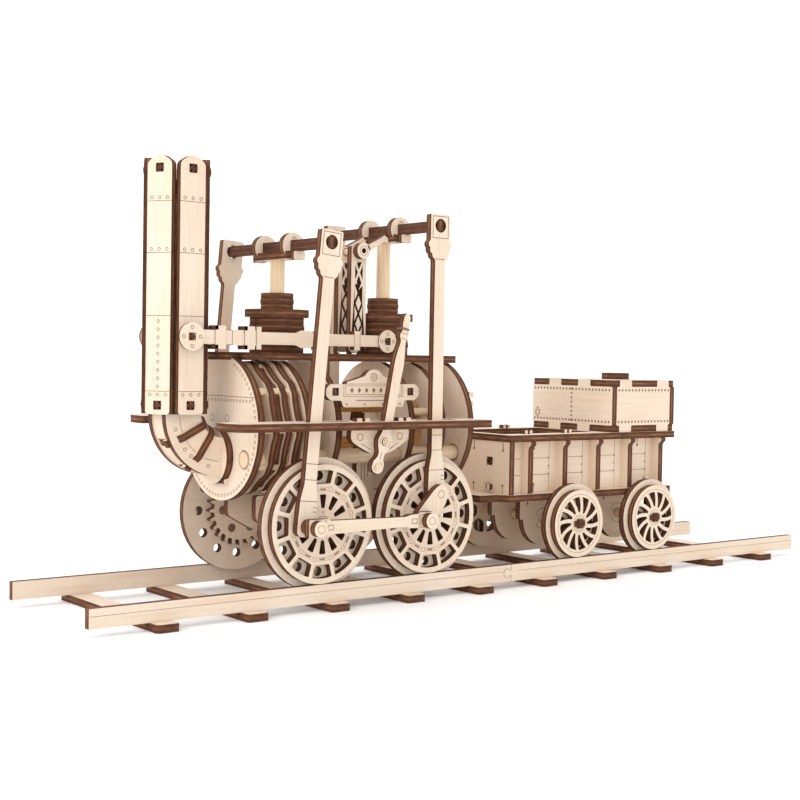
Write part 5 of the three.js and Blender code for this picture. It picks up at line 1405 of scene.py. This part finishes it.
for name, side in (("near", -1), ("far", 1)):
    node = f"{name}_tender_side"
    low, high = span(node)
    inner, outer = faces_of(low, high, side)
    face = inner + side * PLY
    height = high.z - low.z
    wall = Assembly()
    wall.between(ALONG, inner, face, oblong(low.x, high.x, low.z, high.z))
    posts = [floor_low.x + POST_START + POST_PITCH * i for i in range(POSTS)]
    for i, (a0, a1) in enumerate(zip([low.x] + posts, posts)):
        left = a0 + (1.7 if i else 0.2)
        stop = left + 13.6 if a1 - 1.6 - left > 13 else a1 - 1.6
        for share in (0.34, 0.66):
            wall.mark(ALONG, face, side, [(left, low.z + height * share), (stop, low.z + height * share)], 0.22)
        if i:
            wall.mark(ALONG, face, side, [(stop, low.z + 0.4), (stop, high.z - 0.4)], 0.2)
            for share in (0.34, 0.5, 0.66):
                level = low.z + height * share
                wall.mark(ALONG, face, side, [(stop - 0.4, level - 0.5), (stop - 0.4, level + 0.5)], 0.45)
    for x, way in ((posts[0] + 6, 1), (posts[0] + 6, -1), (posts[4] - 6.4, 1), (posts[4] - 11.4, -1)):
        keyhole(wall, ALONG, face, side, x, low.z + 0.3 if way > 0 else high.z - 0.3, way * 3.2)
    foot = outer - side * 1.7
    flare = [(face - side * 0.05, low.z), (foot, low.z), (foot, high.z - 3.6), (outer - side * 1.4, high.z - 2.6),
             (outer, high.z - 1.5), (outer, high.z), (face - side * 0.05, high.z)]
    post = Assembly()
    post.sheet(ACROSS, posts[0] - PLY / 2, PLY, rounded(flare, 0.5, 2), upright=True)
    wall.absorb(repeated(ROWS, post, Count=POSTS, Step=(POST_PITCH * MM, 0, 0)))
    fit(wall.make(node + "_planks"), "tender", "birch_ply", node)

    node = f"{name}_tender_pedestal"
    low, high = span(node)
    face = faces_of(low, high, side)[1]
    axles = (low.x + HORN_HALF, high.x - HORN_HALF)
    level = sum(corner.z for corner in span("tender_front_wheelset")) / 2
    shape = [(low.x, high.z)]
    for x in axles:
        left, right = x - HORN_HALF, x + HORN_HALF
        shape += rounded([(left, high.z - PLY), (left, level), (x - HORN_RADIUS, level)], 0.8, 2)[3:]
        shape += circle(x, level, HORN_RADIUS, 20, math.pi, math.pi)[1:-1]
        shape += rounded([(x + HORN_RADIUS, level), (right, level), (right, high.z - PLY)], 0.8, 2)[:-3]
        shape += [(right, high.z - PLY)]
    shape += [(high.x, high.z)]
    horn = Assembly()
    horn.sheet(ALONG, low.y, PLY, shape, *[circle(x, level, AXLE_HOLE, 16) for x in axles])
    for x in axles:
        for degrees in (200, 20):
            rim = circle(x, level, 4.6, 14, math.radians(degrees), math.radians(140))
            horn.mark(ALONG, face, side, rim, 0.24)
        keyhole(horn, ALONG, face, side, x - 9.5, high.z - 0.2, -3)
    fit(horn.make(node + "_hornblocks"), "tender", "birch_ply", node)

for node, outward in (("tender_front_wall", -1), ("tender_rear_wall", 1)):
    low, high = span(node)
    face = low.x if outward < 0 else high.x
    level = low.z + 14
    wall = Assembly()
    wall.sheet(ACROSS, low.x, PLY, oblong(low.y, high.y, low.z, high.z),
               *[block(y, level, 1.8, 1.8) for y in (-14, 14)], upright=True)
    for y in (-14, 14):
        for half_y, half_z in ((1.5, 0.55), (0.55, 1.5)):
            wall.peg(ACROSS, face + outward * 0.6, face - outward * 2.2, block(y, level, half_y, half_z))
        block_outline = rounded(oblong(y - 2.1, y + 2.1, low.z + 1.6, low.z + 4.0), 0.3, 1)
        wall.between(ACROSS, face + outward * 1.8, face - outward * 0.4, block_outline)
        wall.mark(ACROSS, face + outward * 1.8, outward, [(y, low.z + 1.8), (y, low.z + 3.8)], 0.9)
    for y in (-22.5, -3.5, 3.5, 22.5) if outward < 0 else (-3.5, 3.5):
        keyhole(wall, ACROSS, face, outward, y, low.z + 0.3, 3.4)
        keyhole(wall, ACROSS, face, outward, y, high.z - 0.3, -3.4)
    fit(wall.make(node + "_board"), "tender", "birch_ply", node)

low, high = span("tender_shelf")
tank_low, tank_high = span("tank")
shelf = Assembly()
shelf.sheet(FLAT, low.z, PLY, rounded(oblong(low.x, high.x, low.y, high.y), 2.2, 4),
            oblong(low.x + 4.5, tank_low.x - 4, low.y + 9.2, high.y - 9.2))
for x in (low.x + 16, low.x + 40):
    for y in (low.y + 7.2, -low.y - 7.2):
        for middle in (x - 1.4, x + 1.4):
            tab = oblong(middle - 0.8, middle + 0.8, high.z - 0.2, high.z + 1.7)
            shelf.sheet(ALONG, y - PLY / 2, PLY, rounded(tab, 0.3, 1))
fit(shelf.make("tender_shelf_board"), "tender", "birch_ply", "tender_shelf")

TAB = 8.0
SHEET_INSET = 0.35
DOT_ROW = 4.6
low, high = tank_low, tank_high
length, width = high.x - low.x, high.y - low.y
side_tabs = (low.x + length * 0.21, low.x + length * 0.81)
end_tabs = (low.y + width * 0.345, high.y - width * 0.29)


def tabbed(a0, a1, tabs):
    """A tank wall with rounded finger tabs standing out at its top and bottom edges."""
    base = low.z + PLY
    lower = [(a0, base)]
    for tab in tabs:
        lower += [(tab - TAB / 2, base), (tab - TAB / 2, low.z), (tab + TAB / 2, low.z), (tab + TAB / 2, base)]
    lower += [(a1, base)]
    upper = [(a, low.z + high.z - b) for a, b in lower]
    return rounded(lower + upper[::-1], 0.55, 2)


tank = Assembly()
gaps = [oblong(tab - TAB / 2, tab + TAB / 2, y0, y1) for tab in side_tabs
        for y0, y1 in ((low.y + 0.6, low.y + PLY), (high.y - PLY, high.y - 0.6))]
lid = oblong(low.x + SHEET_INSET, high.x - SHEET_INSET, low.y + SHEET_INSET, high.y - SHEET_INSET)
for z in (low.z, high.z - PLY):
    tank.sheet(FLAT, z, PLY, lid, *gaps)
levels = (low.z + DOT_ROW, high.z - DOT_ROW)
for side in (-1, 1):
    face = low.y if side < 0 else high.y
    tank.between(ALONG, face, face - side * PLY, tabbed(low.x + PLY, high.x - PLY, side_tabs))
    studs(tank, ALONG, face, side, [[(low.x + 4.4, z), (high.x - 4.2, z)] for z in levels], 2.1, 0.56, 0.6, 8)
    face = low.x if side < 0 else high.x
    tank.between(ACROSS, face, face - side * PLY, tabbed(low.y, high.y, end_tabs))
    rows = [[(low.y + 2, z), (high.y - 1.6, z)] for z in levels] + [[(0, low.z + DOT_ROW), (0, high.z - 4.5)]]
    studs(tank, ACROSS, face, side, rows, 2.1, 0.56, 0.6, 8)
    # A small rosette of dots in the far lower corner.
    for a, b in ((0, 9.4), (-1.1, 8.2), (1.1, 8.2), (-1.1, 6.8), (1.1, 6.8), (0, 5.7)):
        tank.char(ACROSS, face, side, circle(high.y - 3.4 + a, low.z + b, 0.6, 6))
fit(tank.make("tank_box"), "tender", "birch_ply", "tank")

low, high = span("tank_hatch")
hatch = Assembly()
hatch.sheet(FLAT, low.z, PLY, rounded(oblong(low.x, high.x, low.y, high.y), 0.7, 2), face=EDGE)
hatch.sheet(FLAT, high.z - 0.05, 0.1, rounded(oblong(low.x + 0.3, high.x - 0.3, low.y + 0.3, high.y - 0.3), 0.7, 2))
hatch.mark(FLAT, high.z + 0.05, 1, oblong(low.x + 2.5, high.x - 2.5, low.y + 2.5, high.y - 2.5), 0.26, closed=True)
fit(hatch.make("tank_hatch_lid"), "tender", "birch_ply", "tank_hatch")

low, high = span("drawbar")
drawbar = Assembly()
drawbar.sheet(FLAT, low.z, PLY, rounded(oblong(low.x, high.x, low.y, high.y), 1.6, 4), circle(high.x - 2.6, 0, 1.1, 12))
fit(drawbar.make("drawbar_link"), "tender", "birch_ply", "drawbar")
